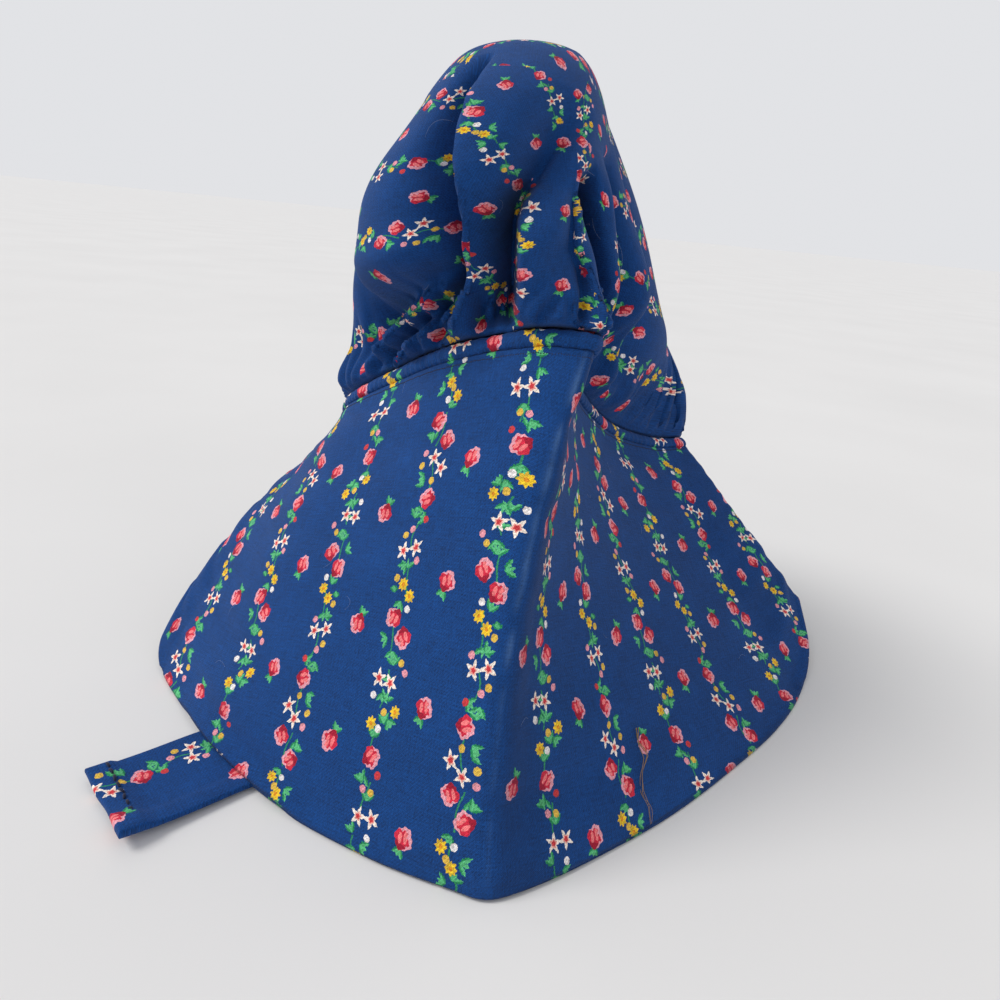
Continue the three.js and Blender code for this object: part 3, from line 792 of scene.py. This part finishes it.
def chart(n, x, along, rows):
    """The nearest of a row of motifs: its place across and along, and its third and fourth number"""
    rows = sorted((list(row) + [0.0])[:4] for row in rows)
    stops = []
    for i, row in enumerate(rows):
        before = rows[i - 1][0] - (REPEAT if i == 0 else 0)
        edge = (row[0] + before) / 2
        stops.append((edge / REPEAT, (row[0] / REPEAT, row[1] + 0.5, row[2], row[3])))
    if stops[0][0] < 0:
        stops = stops[1:] + [(stops[0][0] + 1, stops[0][1])]
    if stops[0][0] > 0:
        stops.insert(0, (0.0, stops[-1][1]))
    colour, fourth = n.ramp(along, stops)
    split = n.add("ShaderNodeSeparateColor")
    n.put(split.inputs[0], colour)
    place, off, third = (Value(n, output) for output in split.outputs[:3])
    return x - (off - 0.5), n.math("WRAP", along - place, 0.5, -0.5) * REPEAT, third, fourth


def polar(n, dx, dy, turn=0.0):
    return n.math("SQRT", dx * dx + dy * dy), n.math("ARCTAN2", dy, dx) + turn * (2 * math.pi)


def points_round(n, angle, count):
    """1 at each of count points round a flower and 0 halfway between them"""
    return 1.0 - n.math("PINGPONG", angle * (count / (2 * math.pi)), 0.5) * 2.0


def turned(n, dx, dy, turn):
    c, s = n.math("COSINE", turn * (2 * math.pi)), n.sine(turn * (2 * math.pi))
    return dx * c + dy * s, dy * c - dx * s


def oval(p, q, middle, half):
    """Whether a point lies in an oval, given its middle and its half width and half height"""
    x, y = (p - middle[0]) * (1 / half[0]), (q - middle[1]) * (1 / half[1])
    return x * x + y * y < 1.0


def rose(n, colour, ink, dx, dy, turn):
    """A red head with two salmon petals, a dark foot and a pale ragged edge on one side"""
    p, q = turned(n, dx, dy, turn)
    reach, angle = polar(n, p, q)
    ragged = n.sine(angle * 9.0) * 0.004 + n.sine(angle * 4.0) * 0.007
    inside = reach < ragged + 0.092
    pale = polar(n, p - 0.026, q + 0.012)[0] > ragged * 1.6 + 0.082
    petals = n.most(oval(p, q, (-0.020, 0.014), (0.021, 0.050)), oval(p, q, (0.036, 0.004), (0.020, 0.044)))
    heart = oval(p, q, (0.006, -0.012), (0.012, 0.026))
    foot = q + p * -0.35 < -0.046
    inner = n.mix(foot, ROSE_RED, ROSE_DEEP)
    for spot, paint_there in ((petals, ROSE_SALMON), (heart, ROSE_RED), (pale, ROSE_PALE)):
        inner = n.mix(spot, inner, paint_there)
    return n.mix(inside, colour, inner), n.most(ink, inside)


def star(n, colour, ink, dx, dy, turn):
    reach, angle = polar(n, dx, dy, turn)
    tips = n.math("POWER", points_round(n, angle, 5), 1.35)
    inside = reach < tips * 0.058 + 0.031
    blush = reach < tips * 0.014 + 0.028
    core = reach < tips * 0.008 + 0.018
    petals = n.mix(core, n.mix(blush, CREAM, STAR_BLUSH), STAR_CORE)
    return n.mix(inside, colour, petals), n.most(ink, inside)


def dot(n, colour, ink, dx, dy, kind):
    """A bud, or a yellow blossom with eight petals"""
    reach, angle = polar(n, dx, dy)
    blossom = kind > 0.8
    inside = reach < blossom * (points_round(n, angle, 8) * 0.022 + 0.007) + 0.034
    petals, _ = n.ramp(kind, list(zip((0.0, 0.2, 0.4, 0.6, 0.8), BUD_COLOURS)))
    petals = n.mix(blossom * (reach < 0.018), petals, YELLOW_CORE)
    shaded = n.mix((dx + dy < -0.022) * 0.25, petals, BUD_SHADE)
    return n.mix(inside, colour, shaded), n.most(ink, inside)


def leaves(n, colour, ink, dx, dy, spread, turn, length=0.110, width=0.021):
    """A pair of leaves and a shorter one between them, with notched edges and a light and a dark half"""
    p, q = turned(n, dx, dy, turn)
    side = n.math("ABSOLUTE", q)
    along, across = turned(n, p, side, spread)
    notches = n.sine(along * (2 * math.pi / 0.026)) * 0.22 + 1.0
    share, short = along * (1 / length), p * (1 / (0.8 * length))
    pair = n.math("ABSOLUTE", across) < share * (1.0 - share) * (4 * width) * notches
    middle = side < short * (1.0 - short) * (3.2 * width) * notches
    inside = n.most(pair, middle)
    green = n.mix(across + middle * 0.004 > 0.002, LEAF_LIGHT, LEAF_DARK)
    return n.mix(inside, colour, green), n.most(ink, inside)


def make_print_group():
    tree = bpy.data.node_groups.new("ditsy_print", "ShaderNodeTree")
    tree.interface.new_socket("Place", in_out="INPUT", socket_type="NodeSocketVector")
    tree.interface.new_socket("Color", in_out="OUTPUT", socket_type="NodeSocketColor")
    tree.interface.new_socket("Ink", in_out="OUTPUT", socket_type="NodeSocketFloat")
    n = Nodes(tree)
    leave = n.add("NodeGroupOutput")
    place = Value(n, n.add("NodeGroupInput").outputs[0])
    shift = n.vectors("SUBTRACT", n.noise(place, 46.0, 1.0, output=1), (0.5, 0.5, 0.5))
    u, v, _ = n.xyz(n.vectors("ADD", place, n.vectors("MULTIPLY", shift, (0.020, 0.020, 0.0))))
    stripe = n.math("ROUND", u)
    odd = n.math("FLOORED_MODULO", stripe, 2.0)
    sign = 1.0 - odd * 2.0
    x = (u - stripe) * sign
    along = n.math("FRACT", (v * sign + odd * TURNED_ABOUT) * (1 / REPEAT))
    round_along = along * (2 * math.pi)
    bend = n.sine(round_along * 5) * 0.035 + n.sine(round_along * 11 + 1.0) * 0.018
    stem = (n.math("ABSOLUTE", x - bend) < 0.0080) * (n.sine(round_along * 9) > -0.6)
    colour, ink = n.mix(stem, GROUND, STEM_GREEN), stem
    for motif, numbers, tables in (
        (leaves, 4, (LEAVES_FIRST, LEAVES_SECOND)),
        (dot, 3, (DOTS_FIRST, DOTS_SECOND)),
        (star, 3, (STARS_FIRST, STARS_SECOND)),
        (rose, 3, (ROSES_FIRST, ROSES_SECOND)),
    ):
        for rows in tables:
            colour, ink = motif(n, colour, ink, *chart(n, x, along, rows)[:numbers])
    # Lone roses between the stripes
    column = n.math("FLOOR", u)
    odd = n.math("FLOORED_MODULO", column, 2.0)
    sign = odd * 2.0 - 1.0
    half = LONE_REPEAT / 2
    dx = (u - column - 0.5) * sign
    dy = n.math("WRAP", v - (odd * 0.56 - 0.44), half, -half) * sign
    colour, ink = leaves(n, colour, ink, dx + 0.02, dy - 0.075, 0.10, 0.32, 0.100, 0.022)
    colour, ink = rose(n, colour, ink, dx, dy, 0.5)
    n.put(leave.inputs[0], colour)
    n.put(leave.inputs[1], ink)
    return tree


PRINT_GROUP = make_print_group()
THREADS = STRIPE / 0.00045


def new_material(name):
    material = bpy.data.materials.new(name)
    material.use_nodes = True
    return material, Nodes(material.node_tree), material.node_tree.nodes["Principled BSDF"]


def printed_cotton(name):
    """Blue calico with the ditsy stripes, its weave, lighter wear where the mesh's attribute is above zero,
    and painted shade where it is below zero
    """
    material, n, shader = new_material(name)
    place = Value(n, n.add("ShaderNodeUVMap", uv_map="Fabric").outputs[0])
    group = n.add("ShaderNodeGroup")
    group.node_tree = PRINT_GROUP
    n.put(group.inputs[0], place)
    printed, ink = Value(n, group.outputs[0]), Value(n, group.outputs[1])
    u, v, _ = n.xyz(place)
    weave = n.sine(u * (2 * math.pi * THREADS)) * n.sine(v * (2 * math.pi * THREADS))
    twill = n.sine((u + v) * (math.pi * THREADS))
    slub = n.noise(n.vector(u * 60.0, v * 6.0), 1.0) + n.noise(n.vector(u * 6.0, v * 60.0), 1.0)
    cloud = n.noise(place, 1.7, 3.0)
    grain = n.noise(n.vector(u * 95.0, v * 60.0), 1.0, 1.0)
    tone = weave * 0.22 + twill * 0.10 + (slub - 1.0) * 0.75 + (grain - 0.5) * 1.3 + (cloud - 0.5) * 0.45
    body = n.mix(ink * 0.96, GROUND, printed)
    bright = tone + 1.0
    lit = n.mix(1.0, body, n.vector(bright, bright, bright), "MULTIPLY")
    wear_and_shade = Value(n, n.add("ShaderNodeAttribute", attribute_name="WearAndShade").outputs["Fac"])
    patchy = wear_and_shade * ((slub + grain) * 0.75 - 0.2)
    colour = n.mix(n.math("MULTIPLY", patchy, 0.55, clamp=True), lit, WORN_BLUE)
    # Painted shade: darker blue where the attribute is below zero
    colour = n.mix(n.math("MULTIPLY", wear_and_shade, -0.6, clamp=True), colour, PAINTED_SHADE_BLUE)
    n.put(shader.inputs["Base Color"], colour)
    shader.inputs["Roughness"].default_value = 0.86
    shader.inputs["Specular IOR Level"].default_value = 0.28
    shader.inputs["Sheen Weight"].default_value = 0.10
    shader.inputs["Sheen Roughness"].default_value = 0.45
    shader.inputs["Sheen Tint"].default_value = paint(190, 205, 240)
    bump = n.add("ShaderNodeBump")
    bump.inputs["Strength"].default_value = 0.55
    bump.inputs["Distance"].default_value = 0.00012
    n.put(bump.inputs["Height"], weave * 0.5 + slub * 0.8 + n.noise(place, 30.0, 3.0, 0.6) * 0.6)
    n.put(shader.inputs["Normal"], Value(n, bump.outputs[0]))
    return material


def plain_thread(name, colour, rough=0.8):
    material, n, shader = new_material(name)
    place = Value(n, n.add("ShaderNodeTexCoord").outputs["Object"])
    n.put(shader.inputs["Base Color"], n.mix(n.noise(place, 2400.0) * 0.5, colour, THREAD_SHADE))
    shader.inputs["Roughness"].default_value = rough
    shader.inputs["Sheen Weight"].default_value = 0.15
    return material


COTTON = printed_cotton("printed_calico")
DARK_THREAD = plain_thread("dark_thread", paint(16, 26, 62))
TAN_THREAD = plain_thread("tan_thread", paint(176, 138, 92))
LINT = plain_thread("pale_lint", paint(150, 166, 196), 0.9)


def tie_run(name):
    place, heading = TIES[name]
    seam_way = unit(seam_point(place + 0.06) - seam_point(place - 0.06))
    inward = np.cross(past_seam(place), seam_way)
    depth = np.linalg.norm(seam_point(place) - foot_point(place))
    stand = BRIM_WALL + TIE_STAND + TIE_WALL / 2
    head = brim_point(place, np.array(TIE_SETBACK / depth)) + inward * stand
    drop = head[2] - TIE_BEND - TIE_WALL / 2
    turn = TIE_BEND * math.pi / 2
    flat = TIE_LENGTH - drop - turn
    angle = math.radians(heading)
    along = np.array([math.cos(angle), math.sin(angle), 0.0])
    return head, seam_way, along, drop, turn, flat


def lift_over_ties(x, y):
    lift = np.zeros_like(x)
    for name in TIES:
        head, _, along, _, _, flat = tie_run(name)
        dx, dy = x - head[0], y - head[1]
        across = np.abs(dx * along[1] - dy * along[0])
        far = dx * along[0] + dy * along[1]
        over = (far > -TIE_MARGIN) & (far < flat + TIE_MARGIN)
        share = 1 - smooth(TIE_WIDTH / 2 + TIE_MARGIN, TIE_WIDTH / 2 + 2 * TIE_MARGIN, across)
        lift = np.maximum(lift, np.where(over, share * (TIE_WALL + SEAT_GAP), 0))
    return lift


def make_brim():
    falls = toward_edges(120, BRIM_WALL / 2, BRIM_FLAT_DEPTH)
    places = toward_edges(300, BRIM_WALL / 2, BRIM_FLAT_WIDTH) * 2 - 1
    place, fall = np.meshgrid(places, 1 - falls)
    face = brim_point(place, fall)
    normals = grid_normals(face, False)
    ripple = 0.00035 * wave(fall * 22 + place * 3, 5) + 0.00025 * wave(fall * 40 - place * 6, 8)
    ripple = ripple * smooth(0, 0.08, fall) * smooth(0, 0.05, 1 - fall)
    centre = face + normals * (ripple - BRIM_WALL / 2)[..., None]
    lift = lift_over_ties(face[..., 0], face[..., 1])
    low = np.maximum(lift, 0.0)
    near_foot = smooth(0.85, 1.0, fall)
    centre[..., 2] = np.where(
        read(BRIM, "place", "foot_z", place) <= 0,
        np.maximum(centre[..., 2] + lift * near_foot, low + 0.0001),
        np.maximum(centre[..., 2], 0.0005),
    )
    to_foot = (1 - fall) * BRIM_FLAT_DEPTH
    to_side = (1 - np.abs(place)) * BRIM_FLAT_WIDTH / 2
    thick = folded_edges(BRIM_WALL, to_foot, fall * BRIM_FLAT_DEPTH, to_side)
    names = ["u_0", "u_25", "u_50", "u_75", "u_100"]
    across = np.stack([read(PRINT, "place", name, place) for name in names])
    spot = np.clip(fall * 4, 0, 3.9999)
    k = spot.astype(int)
    t = spot - k

    def at(i):
        return np.take_along_axis(across, np.clip(i, 0, 4)[None], 0)[0]

    start, end = (at(k + 1) - at(np.maximum(k - 1, 0))) / 2, (at(k + 2) - at(k)) / 2
    u = cubic(at(k), at(k + 1), start, end, t)
    v_seam, v_foot = read(PRINT, "place", "v_seam", place), read(PRINT, "place", "v_foot", place)
    uv = np.stack([u, v_seam + (v_foot - v_seam) * fall], -1)
    crease = np.exp(-(((place + 0.004) / 0.005) ** 2)) * (0.5 + 0.4 * wave(fall * 60, 3))
    crease = crease * (1 - 0.8 * smooth(0.35, 0.8, fall))
    # A darker band just right of the crease, painted shade where the brim turns away from the light
    beside = smooth(0.0, 0.02, place) * (1 - smooth(0.03, 0.12, place))
    # A thin darker line along the front edge, painted shade of the folded edge
    rim = np.exp(-((to_foot / 0.0010) ** 2))
    # Above zero is real wear along the crease; below zero is painted shade
    wear_and_shade = np.clip(crease - beside * 0.45 - rim * 0.7, -1, 1)
    return sheet_object("brim_cloth", centre, thick, uv, "brim", wear_and_shade=wear_and_shade)


def make_crown():
    columns, rows = 440, 110
    even = np.arange(columns) / columns
    shares = even - FRONT_CROWDING * np.sin(2 * math.pi * even) / (2 * math.pi)
    rises = np.linspace(0, 1, rows) ** 1.1
    rises[-1] = 1
    round_share, rise = np.meshgrid(shares, rises)
    rise = np.minimum(rise, 0.9999)
    face = crown_point(round_share, rise)
    normals = grid_normals(face, True)
    normals[-1] = (0, 0, 1)
    thick = CLOTH_WALL * np.where(rise <= 0, 0, 1.0)
    thick[1] *= 0.8
    centre = face - normals * (thick / 2)[..., None]
    centre[-1] = centre[-1, 0]
    turn = crown_turn(round_share, rise)[3]
    turn, rise, place = (np.concatenate([grid, grid[:, :1]], 1) for grid in (turn, rise, face))
    across = np.mod(turn[:-1, 1:] - turn[:-1, :-1] + math.pi, 2 * math.pi) - math.pi
    middle = turn[:-1, :-1] + across / 2
    region = crown_region((rise[:-1, :-1] + rise[1:, :-1]) / 2, middle)
    low, high = slice(None, -1), slice(1, None)
    uv = [
        crown_print(region, middle, rise[corner], turn[corner], place[corner])
        for corner in ((low, low), (low, high), (high, high), (high, low))
    ]
    uv = np.stack(uv, 2)
    return sheet_object("crown_cloth", centre, thick, uv, "crown", wraps=True, closes=True)


def tube(points, radius, sides):
    """Points and faces of a round cord along a line"""
    points = np.asarray(points, float)
    way = unit(np.gradient(points, axis=0))
    side = unit(np.cross(way, (0.0, 0.0, 1.0)) + np.array([1e-6, 0, 0]))
    up = np.cross(side, way)
    angle = np.arange(sides) * 2 * math.pi / sides
    radius = np.broadcast_to(radius, (len(points),))[:, None]
    ring = points[:, None] + side[:, None] * (np.cos(angle) * radius)[..., None]
    ring = ring + up[:, None] * (np.sin(angle) * radius)[..., None]
    faces = []
    for i in range(len(points) - 1):
        for j in range(sides):
            k = (j + 1) % sides
            faces.append([i * sides + j, i * sides + k, (i + 1) * sides + k, (i + 1) * sides + j])
    faces.append(list(range(sides))[::-1])
    faces.append([(len(points) - 1) * sides + j for j in range(sides)])
    return ring.reshape(-1, 3), faces


class Strands:
    """Thin round cords that make up one piece"""

    def __init__(self):
        self.points, self.faces = [], []

    def add(self, line, radius, sides):
        ring, faces = tube(line, radius, sides)
        self.faces.extend([[n + len(self.points) for n in face] for face in faces])
        self.points.extend(ring.tolist())

    def make(self, name, material):
        return make_object(name, np.array(self.points), self.faces, material)


def make_welt():
    place = np.linspace(-0.998, 0.998, 700)
    past = past_seam(place)
    line = seam_point(place) + past * (2 * SEAT_GAP + WELT_DIAMETER / 2 - ROLL_DROP)
    pucker = 1 + 0.05 * np.sin(place * 330) + 0.04 * wave(place * 60, 21)
    ends = np.minimum(1, np.sqrt(np.maximum((1 - np.abs(place)) / 0.008, 0.02)))
    sides = 14
    _, faces = tube(line, ROLL_THICKNESS, sides)
    out = unit(np.cross(past, np.gradient(line, axis=0)))
    angle = np.arange(sides) * 2 * math.pi / sides
    size = (pucker * ends)[:, None, None]
    along, aside = np.cos(angle)[:, None] * ROLL_HEIGHT, np.sin(angle)[:, None] * ROLL_THICKNESS
    points = (line[:, None] + (past[:, None] * along + out[:, None] * aside) * size).reshape(-1, 3)
    across = read(PRINT, "place", "u_0", place)
    seam_v = read(PRINT, "place", "v_seam", place)
    uvs = []
    for face in faces:
        for n in face:
            i, j = divmod(n, sides)
            uvs.append((across[i], seam_v[i] - ROLL_HEIGHT / STRIPE * (1 + math.cos(angle[j]))))
    welt = make_object("seam_roll", points, faces, COTTON, uvs)
    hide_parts("seam_welt")
    return welt


def stitches(name, starts, stops, outs, radius):
    """Dark stitches, each from its start to its stop, bowed out of the cloth in the middle"""
    strands = Strands()
    t = np.linspace(0, 1, 6)
    for start, stop, out in zip(starts, stops, outs):
        bow = out * (radius * (1.3 * np.sin(math.pi * t) - 0.3))[:, None]
        line = start + (stop - start) * t[:, None] + bow
        strands.add(line, radius * (0.5 + 0.6 * np.sin(math.pi * (0.1 + 0.8 * t))), 6)
    return strands.make(name, DARK_THREAD)


def make_topstitch():
    """Small dark stitches just below the seam"""
    draw = random.Random(4)
    places = np.arange(-0.985, 0.985, STITCH_STEP)
    falls = np.array([0.018 + draw.uniform(-0.001, 0.001) for _ in places])
    starts = brim_point(places, falls)
    stops = brim_point(places + STITCH_STEP * 0.72, falls)
    outs = unit(np.cross(past_seam(places), stops - starts))
    return stitches("seam_topstitch", starts, stops, outs, 0.00017)


def make_hem_stitches(name):
    """Crude stitches across the hem of a tie's free end"""
    head, _, along, _, _, flat = tie_run(name)
    across = np.array([along[1], -along[0], 0.0])
    draw = random.Random(name)
    end = np.array([head[0], head[1], 0.0]) + along * (flat + TIE_BEND)
    starts, stops = [], []
    side = -TIE_WIDTH / 2 + 0.001
    while side < TIE_WIDTH / 2 - 0.002:
        lean = draw.uniform(-0.0004, 0.0004)
        length = draw.uniform(0.0013, 0.0021)
        top = np.array([0, 0, TIE_WALL * (1 + HEM_THICKER) + 0.0010])
        starts.append(end - along * (HEM_DEPTH * 0.72 + lean) + across * side + top)
        stops.append(end - along * (HEM_DEPTH * 0.72 - lean) + across * (side + length) + top)
        side += length + draw.uniform(0.0005, 0.0010)
    outs = [np.array([0.0, 0.0, 1.0])] * len(starts)
    return stitches(f"tie_{name}_hem_stitches", starts, stops, outs, 0.00030)


def crown_front(share, rise):
    return crown_point(np.mod(share, 1), rise)


def make_lint():
    """Pale fibres that arch over the cloth, on the brim and on the front of the crown"""
    draw = random.Random(17)
    strands = Strands()
    t = np.linspace(0, 1, 9)
    for surface, facing, step, sides, levels, lengths in (
        (brim_point, -1, 0.01, (-0.75, 0.75), (0.04, 0.86), (0.002, 0.006)),
        (crown_front, 1, 0.002, (-0.10, 0.12), (0.03, 0.60), (0.003, 0.007)),
    ):
        for _ in range(LINT_COUNT):
            side, level = draw.uniform(*sides), draw.uniform(*levels)
            spots = np.array([side, side + step, side]), np.array([level, level, level + 0.01])
            base, beside, beyond = surface(*spots)
            out = unit(np.cross(beside - base, beyond - base)) * facing
            angle = draw.uniform(0, 2 * math.pi)
            way = unit(beside - base) * math.cos(angle) + unit(beyond - base) * math.sin(angle)
            length, bend = draw.uniform(*lengths), draw.uniform(-0.002, 0.002)
            line = base + np.outer(t, way) * length + np.outer((t - t * t) * 4, np.cross(out, way)) * bend
            line = line + np.outer(0.0001 + 0.1 * np.sin(math.pi * t) * length, out)
            strands.add(line, LINT_RADIUS * (0.5 + 0.5 * np.sin(math.pi * (0.1 + 0.8 * t))), 4)
    return strands.make("lint_fibres", LINT)


def make_fray():
    """A tan thread of a few loose strands that has worked out of the hem"""
    draw = random.Random(23)
    strands = Strands()
    t = np.linspace(0, 1, 24)
    for strand in range(3):
        shift = np.array([draw.uniform(-0.006, 0.006), 0.0])
        knots = np.array(FRAY_POINTS) + shift * (strand > 0)
        at = np.linspace(0, 1, len(knots))
        place = np.interp(t, at, knots[:, 0]) + 0.002 * wave(t * 9, 50 + strand)
        fall = np.interp(t, at, knots[:, 1])
        line = brim_point(place, fall)
        out = unit(np.cross(brim_point(place + 0.01, fall) - line, line - brim_point(place, fall + 0.01)))
        line = line + out * (0.00035 + 0.0003 * (1 + wave(t * 12, 60 + strand)))[:, None]
        line[:, 2] = np.maximum(line[:, 2], 0.0006)
        strands.add(line, FRAY_RADIUS * (1.2 - 0.7 * t), 5)
    return strands.make("frayed_thread", TAN_THREAD)


def make_frill():
    back = neck_back()
    aside = np.array([back[1], -back[0], 0.0])
    falls = toward_edges(60, CLOTH_WALL / 2, FRILL_DROP)
    shares = toward_edges(300, CLOTH_WALL / 2, FRILL_SPAN)
    share, fall = np.meshgrid(1 - shares, 1 - falls)
    top = neck_point(share)
    top[..., 2] -= SEAT_GAP
    spread = (0.5 - share) * 2
    big = WAVE_DEPTH * np.cos(2 * math.pi * FRILL_WAVES * share) * smooth(0, 0.8, fall)
    small = 0.0007 * wave(share * 260, 31) * (1 - smooth(0.1, 0.7, fall))
    out = FRILL_FLARE * np.sin(fall * math.pi / 2) * (1 - 0.35 * spread**2) + big + small
    centre = top + back * out[..., None] + aside * (spread * FRILL_FLARE * 0.4 * fall)[..., None]
    centre[..., 2] = top[..., 2] * (1 - fall)
    lift = lift_over_ties(centre[..., 0], centre[..., 1])
    centre[..., 2] = np.maximum(centre[..., 2], lift)
    to_side = np.minimum(share, 1 - share) * FRILL_SPAN
    thick = folded_edges(CLOTH_WALL, (1 - fall) * FRILL_DROP, fall * FRILL_DROP, to_side)
    uv = np.stack([share * FRILL_CLOTH[0], fall * FRILL_CLOTH[1]], -1) / STRIPE
    return sheet_object("neck_frill_cloth", centre, thick, uv, "neck_frill")


def make_tie(name):
    head, seam_way, along, drop, turn, flat = tie_run(name)
    across = np.array([along[1], -along[0], 0.0])
    if across @ seam_way < 0:
        seam_way = -seam_way
    corner = np.array([head[0], head[1], TIE_WALL / 2])
    distance = toward_edges(150, TIE_WALL / 2, TIE_LENGTH) * TIE_LENGTH
    side = toward_edges(22, TIE_WALL / 2, TIE_WIDTH)
    s, d = np.meshgrid(side, distance)
    angle = np.clip((d - flat) / TIE_BEND, 0, math.pi / 2)
    far = np.where(d < flat, flat + TIE_BEND - d, TIE_BEND * (1 - np.sin(angle)))
    height = np.where(d < flat, 0, TIE_BEND * (1 - np.cos(angle)) + np.maximum(d - flat - turn, 0))
    twist = smooth(flat + turn, flat + turn + drop * 0.8, d)[..., None]
    way = unit(across * (1 - twist) + seam_way * twist)
    centre = corner + along * far[..., None] + way * (TIE_WIDTH * (0.5 - s))[..., None]
    centre[..., 2] += height
    near_end = np.exp(-d / 0.012)
    hem = (1 - smooth(HEM_DEPTH - 0.0004, HEM_DEPTH + 0.0006, d)) * HEM_THICKER
    fold_line = SIDE_HEM * (1 + 0.2 * wave(d * 140, 45))
    hem = hem + (1 - smooth(fold_line, fold_line + 0.0007, (1 - s) * TIE_WIDTH)) * SIDE_THICKER * (d < flat)
    centre += along * (0.0007 * wave(s * 9, 41) * near_end)[..., None]
    curl = 0.0012 * (1 - smooth(0, 0.35, s)) + 0.0016 * smooth(0.6, 1, s) + 0.0005 * (1 + wave(s * 7, 43))
    centre[..., 2] += TIE_WALL / 2 * hem + curl * near_end + 0.0002 * (1 + wave(d * 160, 44)) * (d < flat)
    to_side, to_end = np.minimum(s, 1 - s) * TIE_WIDTH, np.minimum(d, TIE_LENGTH - d)
    thick = folded_edges(TIE_WALL, to_side, to_end) * (1 + hem)
    uv = np.stack([s * TIE_WIDTH / STRIPE + TIE_PRINT[0], d / STRIPE + TIE_PRINT[1]], -1)
    return sheet_object(f"tie_{name}_cloth", centre, thick, uv, f"tie_{name}")


brim = make_brim()
crown = make_crown()
welt = make_welt()
topstitch = make_topstitch()
frill = make_frill()
tie_right = make_tie("right")
tie_left = make_tie("left")
hem_right = make_hem_stitches("right")
hem_left = make_hem_stitches("left")
make_lint()
make_fray()


def make_floor():
    material, n, shader = new_material("pale_floor")
    place = Value(n, n.add("ShaderNodeTexCoord").outputs["Object"])
    n.put(shader.inputs["Base Color"], n.mix(n.noise(place, 6.0, 3.0), *FLOOR_COLOURS))
    shader.inputs["Roughness"].default_value = 0.9
    mesh = bpy.data.meshes.new("floor")
    corners = [(x * FLOOR_HALF, y * FLOOR_HALF, 0) for x, y in ((-1, -1), (1, -1), (1, 1), (-1, 1))]
    mesh.from_pydata(corners, [], [(0, 1, 2, 3)])
    mesh.materials.append(material)
    floor = bpy.data.objects.new("floor", mesh)
    bpy.context.scene.collection.objects.link(floor)
    floor.location.z = FLOOR_DROP


def make_key_light():
    """A broad soft light from the upper left, far enough away to light the whole floor evenly"""
    data = bpy.data.lights.new("key", "SUN")
    data.energy = KEY_STRENGTH
    data.angle = KEY_ANGLE
    data.color = KEY_COLOUR
    light = bpy.data.objects.new("key", data)
    bpy.context.scene.collection.objects.link(light)
    light.rotation_mode = "QUATERNION"
    light.rotation_quaternion = Vector(KEY_WAY).to_track_quat("-Z", "Y")


def make_world():
    """Soft even light from all round, which the camera sees as pale as the far floor"""
    world = bpy.data.worlds.new("studio")
    world.use_nodes = True
    n = Nodes(world.node_tree)
    background = world.node_tree.nodes["Background"]
    background.inputs["Color"].default_value = WORLD_COLOUR
    seen = Value(n, n.add("ShaderNodeLightPath").outputs["Is Camera Ray"])
    n.put(background.inputs["Strength"], seen * (SEEN_LIGHT - WORLD_LIGHT) + WORLD_LIGHT)
    bpy.context.scene.world = world


make_floor()
make_key_light()
make_world()
bpy.context.scene.view_settings.view_transform = "Standard"

camera_data = bpy.data.cameras.new("camera")
camera_data.lens = CAMERA_LENS
camera_data.sensor_width = 36
camera_data.clip_start = 0.005
camera = bpy.data.objects.new("camera", camera_data)
bpy.context.scene.collection.objects.link(camera)
forward = Vector(CAMERA_FORWARD).normalized()
right = Vector(CAMERA_RIGHT)
right = (right - forward * right.dot(forward)).normalized()
up = right.cross(forward)
camera.matrix_world = Matrix.Translation(CAMERA_PLACE) @ Matrix((right, up, -forward)).transposed().to_4x4()
bpy.context.scene.camera = camera
